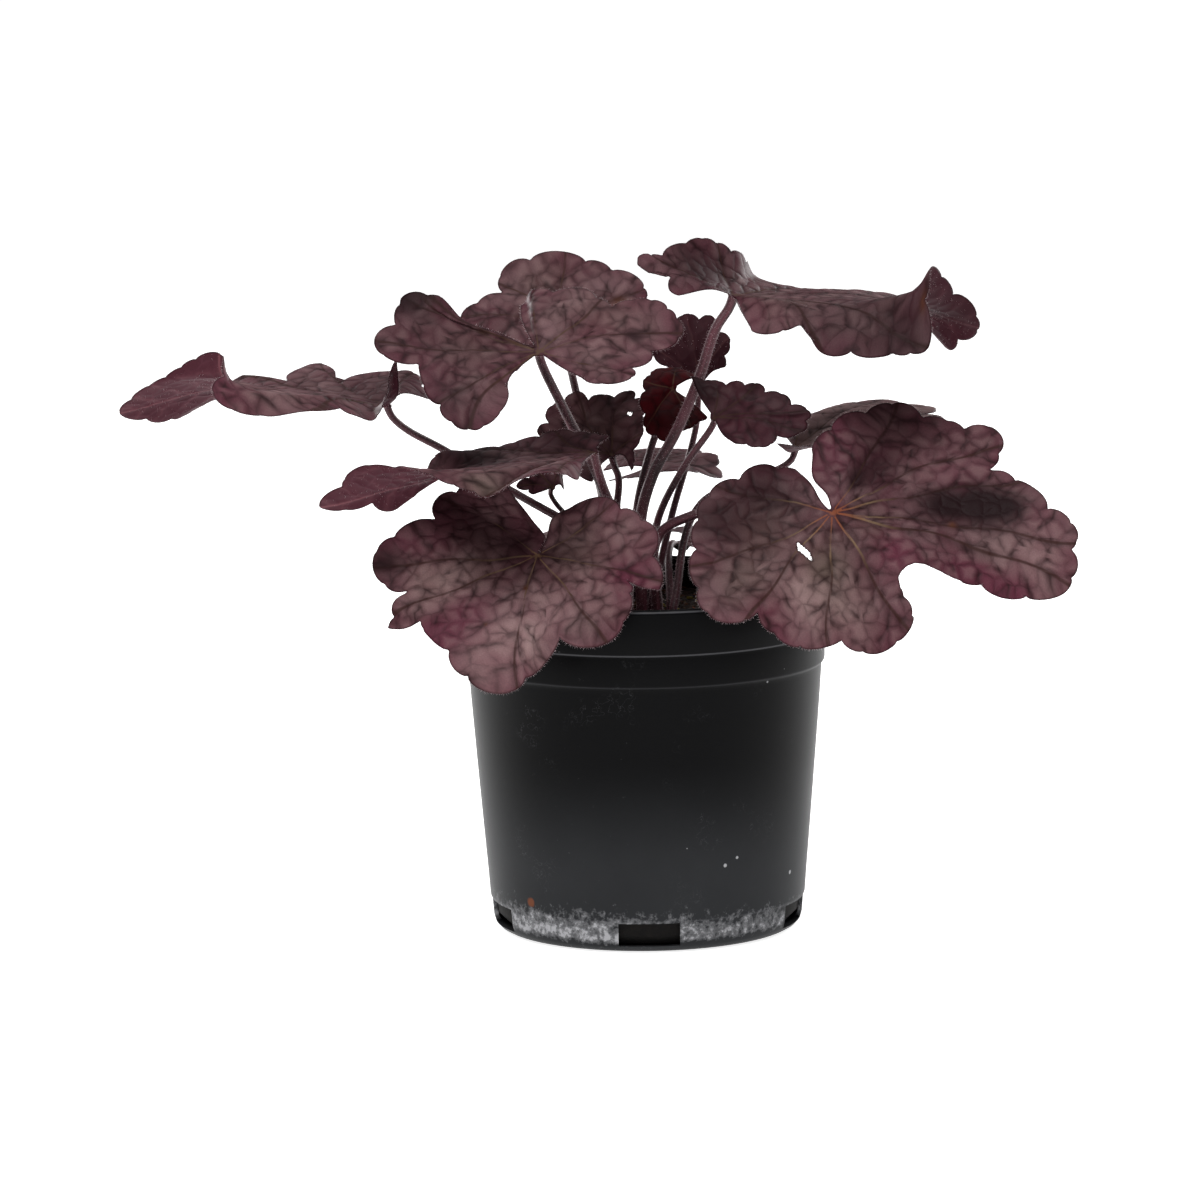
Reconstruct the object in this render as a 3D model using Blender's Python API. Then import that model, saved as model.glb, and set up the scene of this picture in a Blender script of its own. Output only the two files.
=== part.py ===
"""A heuchera growing in a plastic nursery pot: pot, soil, woody crown and one solid for each leaf.

X points right, Y away from the viewer and Z up. The origin is on the pot's axis, at the plane it
stands on. Sizes are in millimetres and are turned to metres when a mesh is made.
"""

from math import cos, pi, radians, sin
from typing import NamedTuple

import bpy
import numpy as np
from mathutils import Vector

MM = 0.001
GAP = 0.3

# Pot: a nursery pot of about three litres, turned about Z.
POT_HEIGHT = 158.0
RIM_RADIUS = 82.6
RIM_INSIDE_RADIUS = 79.2
RIM_STEP_HEIGHT = 137.4
RIM_STEP = 0.5
BAND_BOTTOM_HEIGHT = 122.2
BODY_TOP_RADIUS = 80.6
BODY_BOTTOM_RADIUS = 70.7
BAND_LEDGE = 1.0
LIP_ROUND = 1.6
CORNER_HEIGHT = 6.0
CORNER_PIECES = 4
BASE_RADIUS = 64.0
WALL = 1.6
FLOOR = 2.6
# The inside corner at the floor: how far in from the wall, and how high.
INNER_CORNER = ((0.0, 8.0), (1.5, 3.8), (4.5, FLOOR))
POT_SIDES = 48
DRAINS = 5
DRAIN_WIDTH = 27.7
DRAIN_BOTTOM = 3.2
DRAIN_TOP = 13.8
DRAIN_DEPTH = 16.0

# Soil: it ends below the rim, with low lumps and a few crumbs and grains of perlite.
SOIL_TOP = 142.0
SOIL_LUMP = 1.3
# The slow waves of its top: radians a millimetre along X and Y, and where each starts.
SOIL_WAVES = ((0.21, 0.13, 0.6), (0.11, -0.24, 2.1), (-0.07, 0.31, 0.0))
SOIL_RINGS = (0.0, 22.0, 42.0, 60.0, 72.0)
HOLE_DEPTH = 12.0
CRUMBS = 18
CRUMB_SIZES = (1.6, 3.4)
CRUMB_UNEVEN = 0.25
CRUMB_FLATNESS = 0.8
CRUMB_REACHES = (43.0, 72.0)
CRUMB_SPACING = 9.0
CRUMB_SEED = 3

# Crown: the short woody base in the middle of the stalks.
CROWN_CENTRE = (-2.0, 0.0)
CROWN_RADIUS = 4.4
CROWN_RISE = 8.0
CROWN_SIDES = 10
# Its turned shape: a share of the radius, and a height over the soil.
CROWN_SHAPE = ((0.95, -2.0), (1.0, 2.8), (0.7, 6.0))
CROWN_FOOT = 0.8
CROWN_LUMP = 0.12
CROWN_LUMP_PITCH = 1.9
CROWN_RIDGES = 3

# Leaves: a thin blade on a round stalk, one body.
BLADE_THICKNESS = 0.7
STALK_SIDES = 6
STALK_PITCH = 22.0
STALK_FLARE = 1.25
STALK_UPRIGHT = 4.0
FOOT_TAPER = 0.92
# Just under the blade: the neck's length, how far below the blade the stalk bends, and
# where its rings lie there, in shares of that distance.
STALK_NECK = 0.9
STALK_BEND = 5.0
BEND_RINGS = (0.0, 0.35, 1.0, 2.2)
COLLAR = 1.15
TOOTH_PITCH = 13.0
TOOTH_DEPTH = 0.055
TOOTH_ROUNDNESS = 0.7
NOTCH_ROUNDNESS = 1.5
SAMPLES_PER_TOOTH = 3
SAMPLES_PER_VEIN = 40
NEAR_JOINT = 0.05
# The rows of points across a blade: a share of the way out, and of the margin's points.
BLADE_ROWS = ((0.30, 0.24), (0.55, 0.5), (0.78, 0.75), (1.0, 1.0))


class Leaf(NamedTuple):
    """One leaf, in millimetres.

    base is where its stalk leaves the soil, route the points it passes, joint where the blade
    starts. Each vein runs from the joint through its points to the margin, and the veins are
    listed anticlockwise round the joint as seen from the leaf's upper side. notches holds, for
    each gap between two veins, how far the margin cuts in there, in percent of their length.
    """

    base: tuple
    stalk: float
    route: list
    joint: tuple
    veins: list
    notches: list


LEAVES = {
    "leaf_front_left": Leaf(
        base=(-7, -15),
        stalk=1.9,
        route=[(-12, -28, 172), (-29, -44, 187)],
        joint=(-48, -60, 180),
        veins=[
            [(-55, -52, 193), (-59, -44, 208)], [(-69, -52, 195), (-91, -46, 204)],
            [(-80, -60, 187), (-110, -54, 191)], [(-85, -66, 179), (-120, -58, 176)],
            [(-79, -72, 169), (-107, -74, 159), (-114, -82, 153)], [(-71, -78, 163), (-97, -88, 147)],
            [(-62, -84, 157), (-79, -98, 134)], [(-56, -86, 155), (-58, -100, 131)],
            [(-40, -84, 161), (-42, -98, 143)], [(-31, -83, 163), (-19, -96, 150)],
            [(-25, -78, 171), (-5, -93, 165)], [(-21, -70, 177), (5, -82, 171)],
            [(-21, -60, 184), (3, -66, 190)], [(-29, -54, 190), (-14, -52, 200)],
            [(-38, -54, 190), (-32, -48, 200)],
        ],
        notches=[3, 16, 12, 14, 22, 12, 3, 3, 14, 6, 16, 10, 3, 6],
    ),
    "leaf_front_right": Leaf(
        base=(6, -14),
        stalk=1.9,
        route=[(7, -21, 183), (22, -24, 192), (48, -26, 198), (73, -36, 200)],
        joint=(84, -56, 197),
        veins=[
            [(72, -48, 205), (69, -40, 214)], [(63, -48, 206), (51, -42, 216)],
            [(59, -52, 203), (31, -52, 207)], [(54, -58, 194), (24, -62, 195)],
            [(54, -66, 184), (23, -74, 177)], [(58, -72, 178), (28, -88, 160)],
            [(62, -76, 175), (44, -92, 154)], [(71, -76, 172), (64, -92, 145)],
            [(82, -75, 170), (80, -92, 143)], [(91, -74, 169), (97, -90, 140)],
            [(101, -70, 171), (116, -84, 144)], [(132, -62, 180), (174, -70, 159)],
            [(139, -58, 184), (190, -66, 166)], [(141, -54, 190), (193, -60, 182)],
            [(139, -48, 196), (182, -50, 197)], [(131, -42, 204), (173, -40, 207)],
            [(122, -38, 213), (162, -30, 223)], [(111, -36, 218), (136, -22, 233)],
            [(102, -38, 220), (116, -20, 243)], [(93, -42, 219), (91, -26, 239)],
            [(86, -48, 213), (77, -36, 224)],
        ],
        notches=[3, 3, 8, 3, 3, 12, 3, 3, 7, 3, 66, 3, 3, 3, 14, 3, 10, 5, 3, 3],
    ),
    "leaf_high_left": Leaf(
        base=(-10, -1),
        stalk=2.0,
        route=[(-16, -8, 195), (-23, -12, 215), (-30, -16, 229), (-37, -28, 245)],
        joint=(-46, -48, 270),
        veins=[
            [(-36, -56, 264), (-26, -66, 260)], [(-25, -56, 265), (-6, -66, 262)],
            [(-19, -50, 271), (4, -56, 267)], [(-14, -42, 277), (17, -40, 276)],
            [(-16, -36, 280), (6, -26, 289)], [(-25, -34, 285), (-16, -20, 291)],
            [(-36, -34, 285), (-30, -16, 294)], [(-48, -34, 284), (-48, -14, 294)],
            [(-51, -36, 279), (-55, -20, 288)], [(-68, -38, 281), (-91, -26, 293)],
            [(-75, -38, 279), (-106, -28, 293)], [(-79, -42, 275), (-113, -36, 286)],
            [(-80, -48, 271), (-118, -48, 275)], [(-77, -56, 264), (-102, -62, 259)],
            [(-73, -62, 260), (-94, -70, 247)], [(-68, -64, 256), (-77, -74, 240)],
            [(-59, -58, 260), (-62, -70, 249)],
        ],
        notches=[3, 12, 14, 3, 8, 3, 6, 3, 60, 3, 8, 10, 3, 10, 12, 3],
    ),
    "leaf_high_back": Leaf(
        base=(-17, 5),
        stalk=1.7,
        route=[(-18, 24, 190), (-24, 52, 212), (-30, 54, 239), (-33, 46, 254)],
        joint=(-36, 30, 272),
        veins=[
            [(-28, 16, 264), (-19, 10, 251)], [(-20, 20, 269), (0, 20, 262)],
            [(-18, 28, 276), (4, 34, 275)], [(-18, 34, 281), (2, 44, 288)],
            [(-27, 38, 287), (-16, 50, 298)], [(-37, 40, 289), (-34, 52, 301)],
            [(-46, 38, 288), (-53, 48, 300)], [(-50, 34, 285), (-64, 40, 292)],
            [(-55, 30, 282), (-74, 32, 286)], [(-55, 26, 278), (-83, 26, 277)],
            [(-53, 22, 273), (-78, 18, 266)], [(-46, 18, 265), (-57, 10, 254)],
        ],
        notches=[3, 10, 14, 10, 3, 6, 6, 20, 3, 8, 3],
    ),
    "leaf_high_right": Leaf(
        base=(-1, -8),
        stalk=2.2,
        route=[(-1, -16, 191), (5, -18, 211), (15, -18, 229), (26, -16, 254), (34, -13, 276)],
        joint=(42, -10, 290),
        veins=[
            [(50, -28, 286), (54, -42, 277)], [(59, -32, 288), (70, -46, 280)],
            [(68, -34, 288), (83, -54, 268)], [(84, -38, 284), (107, -56, 267)],
            [(97, -38, 285), (126, -54, 270)], [(103, -32, 289), (124, -40, 296), (129, -34, 303)],
            [(106, -18, 288), (132, -24, 288), (141, -20, 292)],
            [(106, -2, 287), (134, -4, 280), (152, -4, 273)],
            [(105, 14, 286), (131, 16, 273), (139, 16, 263)], [(101, 26, 286), (122, 44, 281)],
            [(88, 30, 286), (105, 56, 284)], [(69, 26, 289), (79, 52, 285)],
            [(52, 14, 293), (55, 38, 292)], [(44, 8, 297), (46, 16, 305)], [(38, 2, 297), (34, 6, 313)],
            [(32, -6, 298), (20, -4, 312)], [(29, -14, 297), (11, -14, 306)],
            [(32, -20, 295), (14, -24, 294)],
        ],
        notches=[3, 20, 12, 10, 2, 4, 8, 10, 16, 10, 3, 16, 3, 6, 3, 10, 16],
    ),
    "leaf_far_left": Leaf(
        base=(-15, -9),
        stalk=1.6,
        route=[(-19, -16, 180), (-40, -12, 191), (-63, -2, 203), (-89, 2, 219)],
        joint=(-115, -12, 242),
        veins=[
            [(-109, 0, 246), (-94, 12, 241)], [(-111, 8, 248), (-104, 30, 252)],
            [(-120, 10, 247), (-121, 38, 252)], [(-135, 14, 247), (-147, 46, 254)],
            [(-144, 14, 247), (-159, 46, 253)], [(-153, 12, 247), (-177, 38, 248)],
            [(-160, 8, 247), (-189, 8, 246), (-214, 8, 234)],
            [(-162, -6, 248), (-194, -6, 250), (-235, -8, 240)],
            [(-161, -20, 250), (-193, -20, 256), (-221, -24, 255)],
            [(-158, -32, 251), (-188, -34, 261), (-196, -30, 269)],
            [(-155, -40, 251), (-188, -52, 254)], [(-151, -42, 250), (-170, -56, 245)],
            [(-142, -40, 248), (-149, -54, 246)], [(-130, -32, 245), (-130, -46, 243)],
            [(-120, -24, 243), (-119, -36, 241)], [(-110, -24, 249), (-110, -32, 266)],
        ],
        notches=[12, 3, 20, 3, 20, 12, 6, 6, 8, 12, 6, 3, 14, 6, 16],
    ),
    "leaf_left_middle": Leaf(
        base=(-7, -7),
        stalk=1.8,
        route=[(-12, -20, 189), (-18, -34, 207)],
        joint=(-22, -45, 224),
        veins=[
            [(-20, -42, 227), (-15, -36, 230)], [(-26, -38, 228), (-24, -32, 231)],
            [(-35, -36, 227), (-39, -28, 232)], [(-45, -36, 226), (-57, -28, 227)],
            [(-55, -38, 224), (-77, -30, 224)], [(-65, -42, 222), (-95, -38, 222)],
            [(-68, -50, 220), (-91, -50, 214), (-113, -50, 199)],
            [(-69, -60, 220), (-96, -62, 215), (-143, -64, 204)],
            [(-69, -66, 221), (-96, -72, 219), (-129, -78, 218)],
            [(-69, -74, 222), (-93, -82, 222), (-114, -84, 226)], [(-64, -84, 221), (-86, -96, 217)],
            [(-56, -85, 219), (-71, -101, 212)], [(-48, -87, 222), (-55, -101, 220)],
            [(-36, -79, 223), (-41, -95, 222)], [(-27, -68, 222), (-29, -82, 217)],
        ],
        notches=[3, 6, 3, 8, 8, 10, 6, 6, 6, 8, 8, 14, 8, 8],
    ),
    "leaf_centre_back": Leaf(
        base=(-9, 5),
        stalk=1.6,
        route=[(-12, 14, 189), (-11, 18, 204)],
        joint=(-14, 18, 214),
        veins=[
            [(-9, 11, 215), (-5, 1, 209)], [(-6, 17, 221), (0, 15, 225)], [(-8, 23, 230), (1, 29, 238)],
            [(-12, 25, 232), (-4, 35, 242)], [(-20, 27, 230), (-19, 37, 240)],
            [(-26, 27, 229), (-30, 35, 242)], [(-32, 23, 228), (-43, 27, 235)],
            [(-34, 17, 222), (-48, 15, 226)], [(-28, 11, 217), (-38, 1, 214)],
            [(-19, 7, 211), (-23, -5, 205)],
        ],
        notches=[20, 3, 12, 10, 12, 6, 12, 10, 3],
    ),
    "leaf_centre_right": Leaf(
        base=(5, -5),
        stalk=1.5,
        route=[(6, -11, 186), (19, -18, 214)],
        joint=(32, -28, 237),
        veins=[
            [(36, -36, 230), (41, -42, 227)], [(45, -38, 232), (55, -46, 226)],
            [(50, -38, 237), (73, -46, 233)], [(52, -36, 240), (76, -40, 240)],
            [(48, -34, 243), (65, -34, 247)], [(44, -32, 246), (53, -28, 252)],
            [(39, -30, 246), (43, -24, 253)], [(34, -28, 246), (33, -22, 253)],
            [(26, -26, 246), (22, -20, 255)],
        ],
        notches=[6, 12, 6, 10, 12, 10, 12, 6],
    ),
    "leaf_centre_red": Leaf(
        base=(-3, 8),
        stalk=1.6,
        route=[(-3, 6, 189), (4, 10, 218), (10, 12, 234)],
        joint=(14, 6, 246),
        veins=[
            [(22, 8, 250), (28, 12, 250)], [(15, 10, 252), (16, 16, 254)], [(8, 8, 251), (7, 14, 254)],
            [(6, 4, 248), (1, 4, 250)], [(6, -2, 243), (-1, -6, 241)], [(7, -4, 238), (2, -10, 228)],
            [(14, -4, 237), (10, -12, 224)], [(19, -2, 238), (22, -10, 230)],
            [(22, 0, 241), (30, -6, 234)],
        ],
        notches=[3, 6, 10, 14, 12, 8, 10, 3],
    ),
    "leaf_upper_back": Leaf(
        base=(3, 7),
        stalk=1.4,
        route=[(13, 14, 186), (25, 25, 227)],
        joint=(28, 38, 244),
        veins=[
            [(20, 37, 249), (10, 37, 253)], [(16, 40, 254), (2, 42, 262)],
            [(18, 40, 257), (9, 46, 270)], [(24, 42, 259), (21, 52, 275)],
            [(30, 42, 259), (33, 52, 274)], [(33, 38, 256), (41, 44, 264)],
            [(33, 35, 250), (39, 36, 252)],
        ],
        notches=[3, 10, 8, 10, 12, 14],
    ),
    "leaf_right_back": Leaf(
        base=(13, -4),
        stalk=1.5,
        route=[(26, 16, 191), (47, 22, 201)],
        joint=(70, 28, 215),
        veins=[
            [(67, 14, 215), (61, 0, 221)], [(79, 12, 218), (81, -10, 221)],
            [(93, 14, 222), (103, -12, 225)], [(100, 22, 224), (124, 4, 225)],
            [(104, 34, 226), (139, 30, 227)], [(102, 46, 227), (136, 58, 229)],
            [(94, 54, 228), (114, 82, 230)], [(83, 52, 227), (95, 84, 228)],
            [(73, 44, 224), (75, 70, 223)], [(66, 38, 219), (62, 54, 218)],
        ],
        notches=[20, 3, 10, 12, 12, 10, 12, 10, 10],
    ),
    "leaf_far_back": Leaf(
        base=(2, 15),
        stalk=1.3,
        route=[(-1, 36, 188), (1, 50, 198)],
        joint=(3, 58, 203),
        veins=[
            [(-4, 52, 201), (-16, 48, 198)], [(4, 44, 203), (-1, 32, 202)],
            [(14, 46, 205), (19, 36, 204)], [(21, 54, 204), (37, 54, 198)],
            [(22, 64, 205), (35, 72, 206)], [(16, 76, 206), (23, 94, 206)],
            [(6, 80, 207), (6, 100, 206)], [(-3, 76, 206), (-11, 92, 205)],
            [(-5, 62, 203), (-18, 68, 200)],
        ],
        notches=[10, 12, 14, 10, 12, 10, 12, 10],
    ),
    "leaf_young_left": Leaf(
        base=(-18, -3),
        stalk=1.1,
        route=[(-20, 4, 175), (-35, 2, 189)],
        joint=(-41, -6, 203),
        veins=[
            [(-38, -4, 204), (-36, 0, 201)], [(-39, -2, 209), (-37, 2, 212)],
            [(-43, -4, 211), (-44, -2, 215)], [(-47, -8, 210), (-50, -10, 213)],
            [(-48, -10, 205), (-58, -14, 205)], [(-45, -10, 202), (-50, -14, 201)],
        ],
        notches=[10, 15, 12, 25, 20],
    ),
    "leaf_low_right_back": Leaf(
        base=(12, 8),
        stalk=1.5,
        route=[(13, 36, 170)],
        joint=(22, 52, 171),
        veins=[
            [(18, 48, 170), (12, 40, 170)], [(26, 42, 168), (33, 26, 168)],
            [(37, 48, 167), (50, 40, 163)], [(40, 62, 168), (59, 66, 159)],
            [(37, 76, 169), (53, 92, 161)], [(29, 82, 170), (38, 104, 165)],
            [(21, 76, 171), (22, 98, 169)], [(17, 66, 171), (10, 78, 170)],
        ],
        notches=[12, 12, 12, 14, 14, 12, 12],
    ),
    "leaf_low_left_back": Leaf(
        base=(-11, 13),
        stalk=1.5,
        route=[(-18, 30, 171)],
        joint=(-34, 50, 174),
        veins=[
            [(-27, 68, 172), (-19, 78, 172)], [(-30, 82, 171), (-26, 102, 169)],
            [(-38, 88, 170), (-42, 110, 164)], [(-48, 82, 168), (-60, 102, 159)],
            [(-53, 68, 167), (-73, 74, 158)], [(-52, 52, 168), (-69, 44, 164)],
            [(-44, 38, 170), (-52, 24, 168)], [(-31, 38, 172), (-27, 20, 172)],
        ],
        notches=[12, 12, 14, 12, 14, 12, 12],
    ),
}


def clear_scene():
    for obj in list(bpy.data.objects):
        bpy.data.objects.remove(obj, do_unlink=True)


def finish(name, colour, roughness, metallic=0.0):
    """A Principled material from a colour written as linear red, green and blue."""
    material = bpy.data.materials.new(name)
    material.use_nodes = True
    shader = material.node_tree.nodes["Principled BSDF"]
    shader.inputs["Base Color"].default_value = (*colour, 1.0)
    shader.inputs["Roughness"].default_value = roughness
    shader.inputs["Metallic"].default_value = metallic
    material.diffuse_color = (*colour, 1.0)
    return material


def object_from(name, points, faces, material, smooth_angle=None):
    """An object named name from points in millimetres, at the world's origin."""
    mesh = bpy.data.meshes.new(name)
    mesh.from_pydata([Vector(point) * MM for point in points], [], faces)
    mesh.validate()
    if smooth_angle:
        mesh.shade_smooth()
        mesh.set_sharp_from_angle(angle=radians(smooth_angle))
    mesh.materials.append(material)
    obj = bpy.data.objects.new(name, mesh)
    bpy.context.scene.collection.objects.link(obj)
    return obj


def helper(obj):
    """Marks obj as a cutter or an added shape, which isn't a piece of its own."""
    obj.hide_render = True
    obj.display_type = "WIRE"
    return obj


def boolean(target, other, operation):
    modifier = target.modifiers.new(f"{operation.lower()} {other.name}", "BOOLEAN")
    modifier.operation = operation
    modifier.object = other


def turned(profile, sides):
    """Points and faces of a solid turned about Z from (radius, height) pairs.

    The profile starts and ends on the axis and has the solid on its left as it goes.
    """
    points = [(0.0, 0.0, profile[0][1])]
    rings = []
    for radius, height in profile[1:-1]:
        rings.append(len(points))
        for step in range(sides):
            turn = 2 * pi * step / sides
            points.append((radius * cos(turn), radius * sin(turn), height))
    top = len(points)
    points.append((0.0, 0.0, profile[-1][1]))
    faces = []
    for step in range(sides):
        after = (step + 1) % sides
        faces.append((0, rings[0] + after, rings[0] + step))
        for low, high in zip(rings, rings[1:]):
            faces.append((low + step, low + after, high + after, high + step))
        faces.append((rings[-1] + step, rings[-1] + after, top))
    return points, faces


def corner(start, end, pieces):
    """The points of a quarter ellipse from start to end that leaves start along the radius."""
    (start_radius, start_height), (end_radius, end_height) = start, end
    arc = []
    for step in range(1, pieces + 1):
        turn = pi / 2 * step / pieces
        radius = start_radius + (end_radius - start_radius) * sin(turn)
        height = start_height + (end_height - start_height) * (1 - cos(turn))
        arc.append((radius, height))
    return arc


def body_radius(height):
    """The outer radius of the pot's tapered wall at a height."""
    share = (height - CORNER_HEIGHT) / (BAND_BOTTOM_HEIGHT - CORNER_HEIGHT)
    return BODY_BOTTOM_RADIUS + (BODY_TOP_RADIUS - BODY_BOTTOM_RADIUS) * share


def inner_corner(gap=0.0):
    """The inside corner from the wall to the floor, taken in by a gap."""
    wall = BODY_BOTTOM_RADIUS - WALL - gap
    return [(wall - inset, height + gap) for inset, height in INNER_CORNER]


def pot_profile():
    low_corner = (BODY_BOTTOM_RADIUS, CORNER_HEIGHT)
    outside = [(0.0, 0.0), (BASE_RADIUS, 0.0)]
    outside += corner((BASE_RADIUS, 0.0), low_corner, CORNER_PIECES)
    outside += [
        (BODY_TOP_RADIUS, BAND_BOTTOM_HEIGHT - BAND_LEDGE),
        (RIM_RADIUS - RIM_STEP - BAND_LEDGE, BAND_BOTTOM_HEIGHT),
        (RIM_RADIUS - RIM_STEP, BAND_BOTTOM_HEIGHT + BAND_LEDGE),
        (RIM_RADIUS - RIM_STEP, RIM_STEP_HEIGHT - RIM_STEP),
        (RIM_RADIUS, RIM_STEP_HEIGHT),
        (RIM_RADIUS, POT_HEIGHT - LIP_ROUND),
        (RIM_RADIUS - LIP_ROUND / 3, POT_HEIGHT - LIP_ROUND / 4),
        (RIM_RADIUS - LIP_ROUND, POT_HEIGHT),
    ]
    inside = [
        (RIM_INSIDE_RADIUS + LIP_ROUND / 3, POT_HEIGHT - LIP_ROUND / 4),
        (RIM_INSIDE_RADIUS, POT_HEIGHT - LIP_ROUND),
        (BODY_TOP_RADIUS - WALL, BAND_BOTTOM_HEIGHT - BAND_LEDGE),
    ]
    return outside + inside + inner_corner() + [(0.0, FLOOR)]


def drain_cutter(turn):
    """A block that cuts one drainage notch through the foot of the wall."""
    outer = BODY_BOTTOM_RADIUS + DRAIN_DEPTH / 4
    inner = outer - DRAIN_DEPTH
    across = Vector((cos(turn), sin(turn), 0.0))
    along = Vector((-sin(turn), cos(turn), 0.0)) * DRAIN_WIDTH / 2
    points = []
    for height in (DRAIN_BOTTOM, DRAIN_TOP):
        for reach, side in ((inner, -1), (outer, -1), (outer, 1), (inner, 1)):
            points.append(across * reach + along * side + Vector((0.0, 0.0, height)))
    faces = [(3, 2, 1, 0), (4, 5, 6, 7)]
    faces += [(k, (k + 1) % 4, (k + 1) % 4 + 4, k + 4) for k in range(4)]
    return points, faces


def make_pot():
    plastic = finish("black polypropylene", (0.010, 0.010, 0.012), 0.38)
    pot = object_from("pot", *turned(pot_profile(), POT_SIDES), plastic, smooth_angle=35)
    for number in range(DRAINS):
        turn = -pi / 2 + 2 * pi * number / DRAINS
        cutter = object_from(f"drain_cutter_{number}", *drain_cutter(turn), plastic)
        boolean(pot, helper(cutter), "DIFFERENCE")
    return pot


def stalk_foot(leaf):
    """The radius of a leaf's stalk where it stands in the soil."""
    return leaf.stalk * STALK_FLARE


def prism(centre, radius, low, high, sides):
    """An upright prism, widened so that a circle of that radius fits inside its flats."""
    reach = radius / cos(pi / sides)
    points = []
    for height in (low, high):
        for step in range(sides):
            turn = 2 * pi * step / sides
            points.append((centre[0] + reach * cos(turn), centre[1] + reach * sin(turn), height))
    faces = [tuple(reversed(range(sides))), tuple(range(sides, 2 * sides))]
    faces += [(k, (k + 1) % sides, (k + 1) % sides + sides, k + sides) for k in range(sides)]
    return points, faces


def soil_height(x, y):
    """The lumpy top of the soil at a place, from a few slow waves."""
    waves = [sin(along_x * x + along_y * y + start) for along_x, along_y, start in SOIL_WAVES]
    return SOIL_TOP + SOIL_LUMP * sum(waves) / len(waves)


def soil_body():
    wall = BODY_TOP_RADIUS - WALL - GAP
    side = inner_corner(GAP)[::-1]
    side += [(wall, BAND_BOTTOM_HEIGHT - BAND_LEDGE), (wall, SOIL_TOP)]
    top = [(radius, SOIL_TOP) for radius in reversed(SOIL_RINGS[1:])]
    profile = [(0.0, FLOOR + GAP)] + side + top + [(0.0, SOIL_TOP)]
    points, faces = turned(profile, POT_SIDES)
    first_of_top = 1 + len(side) * POT_SIDES
    raised = []
    for number, (x, y, z) in enumerate(points):
        raised.append((x, y, soil_height(x, y)) if number >= first_of_top else (x, y, z))
    return raised, faces


def crumb(centre, size, draw):
    """A squashed lump of eight faces with its corners moved a little."""
    ends = [(1, 0, 0), (0, 1, 0), (-1, 0, 0), (0, -1, 0)]
    ends += [(0, 0, CRUMB_FLATNESS), (0, 0, -CRUMB_FLATNESS)]
    reach = size * draw.uniform(1 - CRUMB_UNEVEN, 1 + CRUMB_UNEVEN, len(ends))
    turn = draw.uniform(0, pi)
    points = []
    for (x, y, z), length in zip(ends, reach):
        place = Vector((x * cos(turn) - y * sin(turn), x * sin(turn) + y * cos(turn), z)) * length
        points.append(place + Vector(centre))
    around = [(k, (k + 1) % 4) for k in range(4)]
    faces = [(a, b, 4) for a, b in around] + [(b, a, 5) for a, b in around]
    return points, faces


def crumb_places(draw):
    """Places on the soil for the crumbs, clear of the stalks, the wall and each other."""
    places = []
    nearest, farthest = CRUMB_REACHES
    while len(places) < CRUMBS:
        reach = draw.uniform(nearest**2, farthest**2) ** 0.5
        turn = draw.uniform(0, 2 * pi)
        x, y = reach * cos(turn), reach * sin(turn)
        if all((x - a) ** 2 + (y - b) ** 2 > CRUMB_SPACING**2 for a, b in places):
            places.append((x, y))
    return places


def make_soil():
    peat = finish("peat potting soil", (0.030, 0.018, 0.011), 0.95)
    soil = object_from("soil", *soil_body(), peat)
    draw = np.random.default_rng(CRUMB_SEED)
    crumbs = bpy.data.collections.new("crumbs")
    bpy.context.scene.collection.children.link(crumbs)
    for number, (x, y) in enumerate(crumb_places(draw)):
        size = draw.uniform(*CRUMB_SIZES)
        lump = object_from(f"crumb_{number}", *crumb((x, y, soil_height(x, y)), size, draw), peat)
        bpy.context.scene.collection.objects.unlink(lump)
        crumbs.objects.link(lump)
    union = soil.modifiers.new("crumbs", "BOOLEAN")
    union.operation = "UNION"
    union.operand_type = "COLLECTION"
    union.collection = crumbs
    bpy.context.view_layer.objects.active = soil
    bpy.ops.object.modifier_apply(modifier=union.name)
    for lump in list(crumbs.objects):
        bpy.data.objects.remove(lump, do_unlink=True)
    bpy.data.collections.remove(crumbs)
    low = SOIL_TOP - HOLE_DEPTH
    high = SOIL_TOP + 3 * SOIL_LUMP + CRUMB_SIZES[1]
    holes = {name: (leaf.base, stalk_foot(leaf)) for name, leaf in LEAVES.items()}
    holes["crown"] = (CROWN_CENTRE, CROWN_RADIUS)
    for name, (centre, radius) in holes.items():
        hole = object_from(f"hole_{name}", *prism(centre, radius + GAP, low, high, 8), peat)
        boolean(soil, helper(hole), "DIFFERENCE")
    return soil


def make_crown():
    wood = finish("brown crown bark", (0.075, 0.040, 0.022), 0.85)
    low = SOIL_TOP - HOLE_DEPTH + GAP
    profile = [(0.0, low), (CROWN_RADIUS * CROWN_FOOT, low)]
    profile += [(CROWN_RADIUS * share, SOIL_TOP + height) for share, height in CROWN_SHAPE]
    profile += [(0.0, SOIL_TOP + CROWN_RISE)]
    points, faces = turned(profile, CROWN_SIDES)
    lumpy = []
    for x, y, z in points:
        ridge = sin(CROWN_LUMP_PITCH * z + CROWN_RIDGES * np.arctan2(y, x))
        swell = 1 - CROWN_LUMP * (1 + ridge)
        lumpy.append((CROWN_CENTRE[0] + x * swell, CROWN_CENTRE[1] + y * swell, z))
    return object_from("crown", lumpy, faces, wood, smooth_angle=60)


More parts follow.
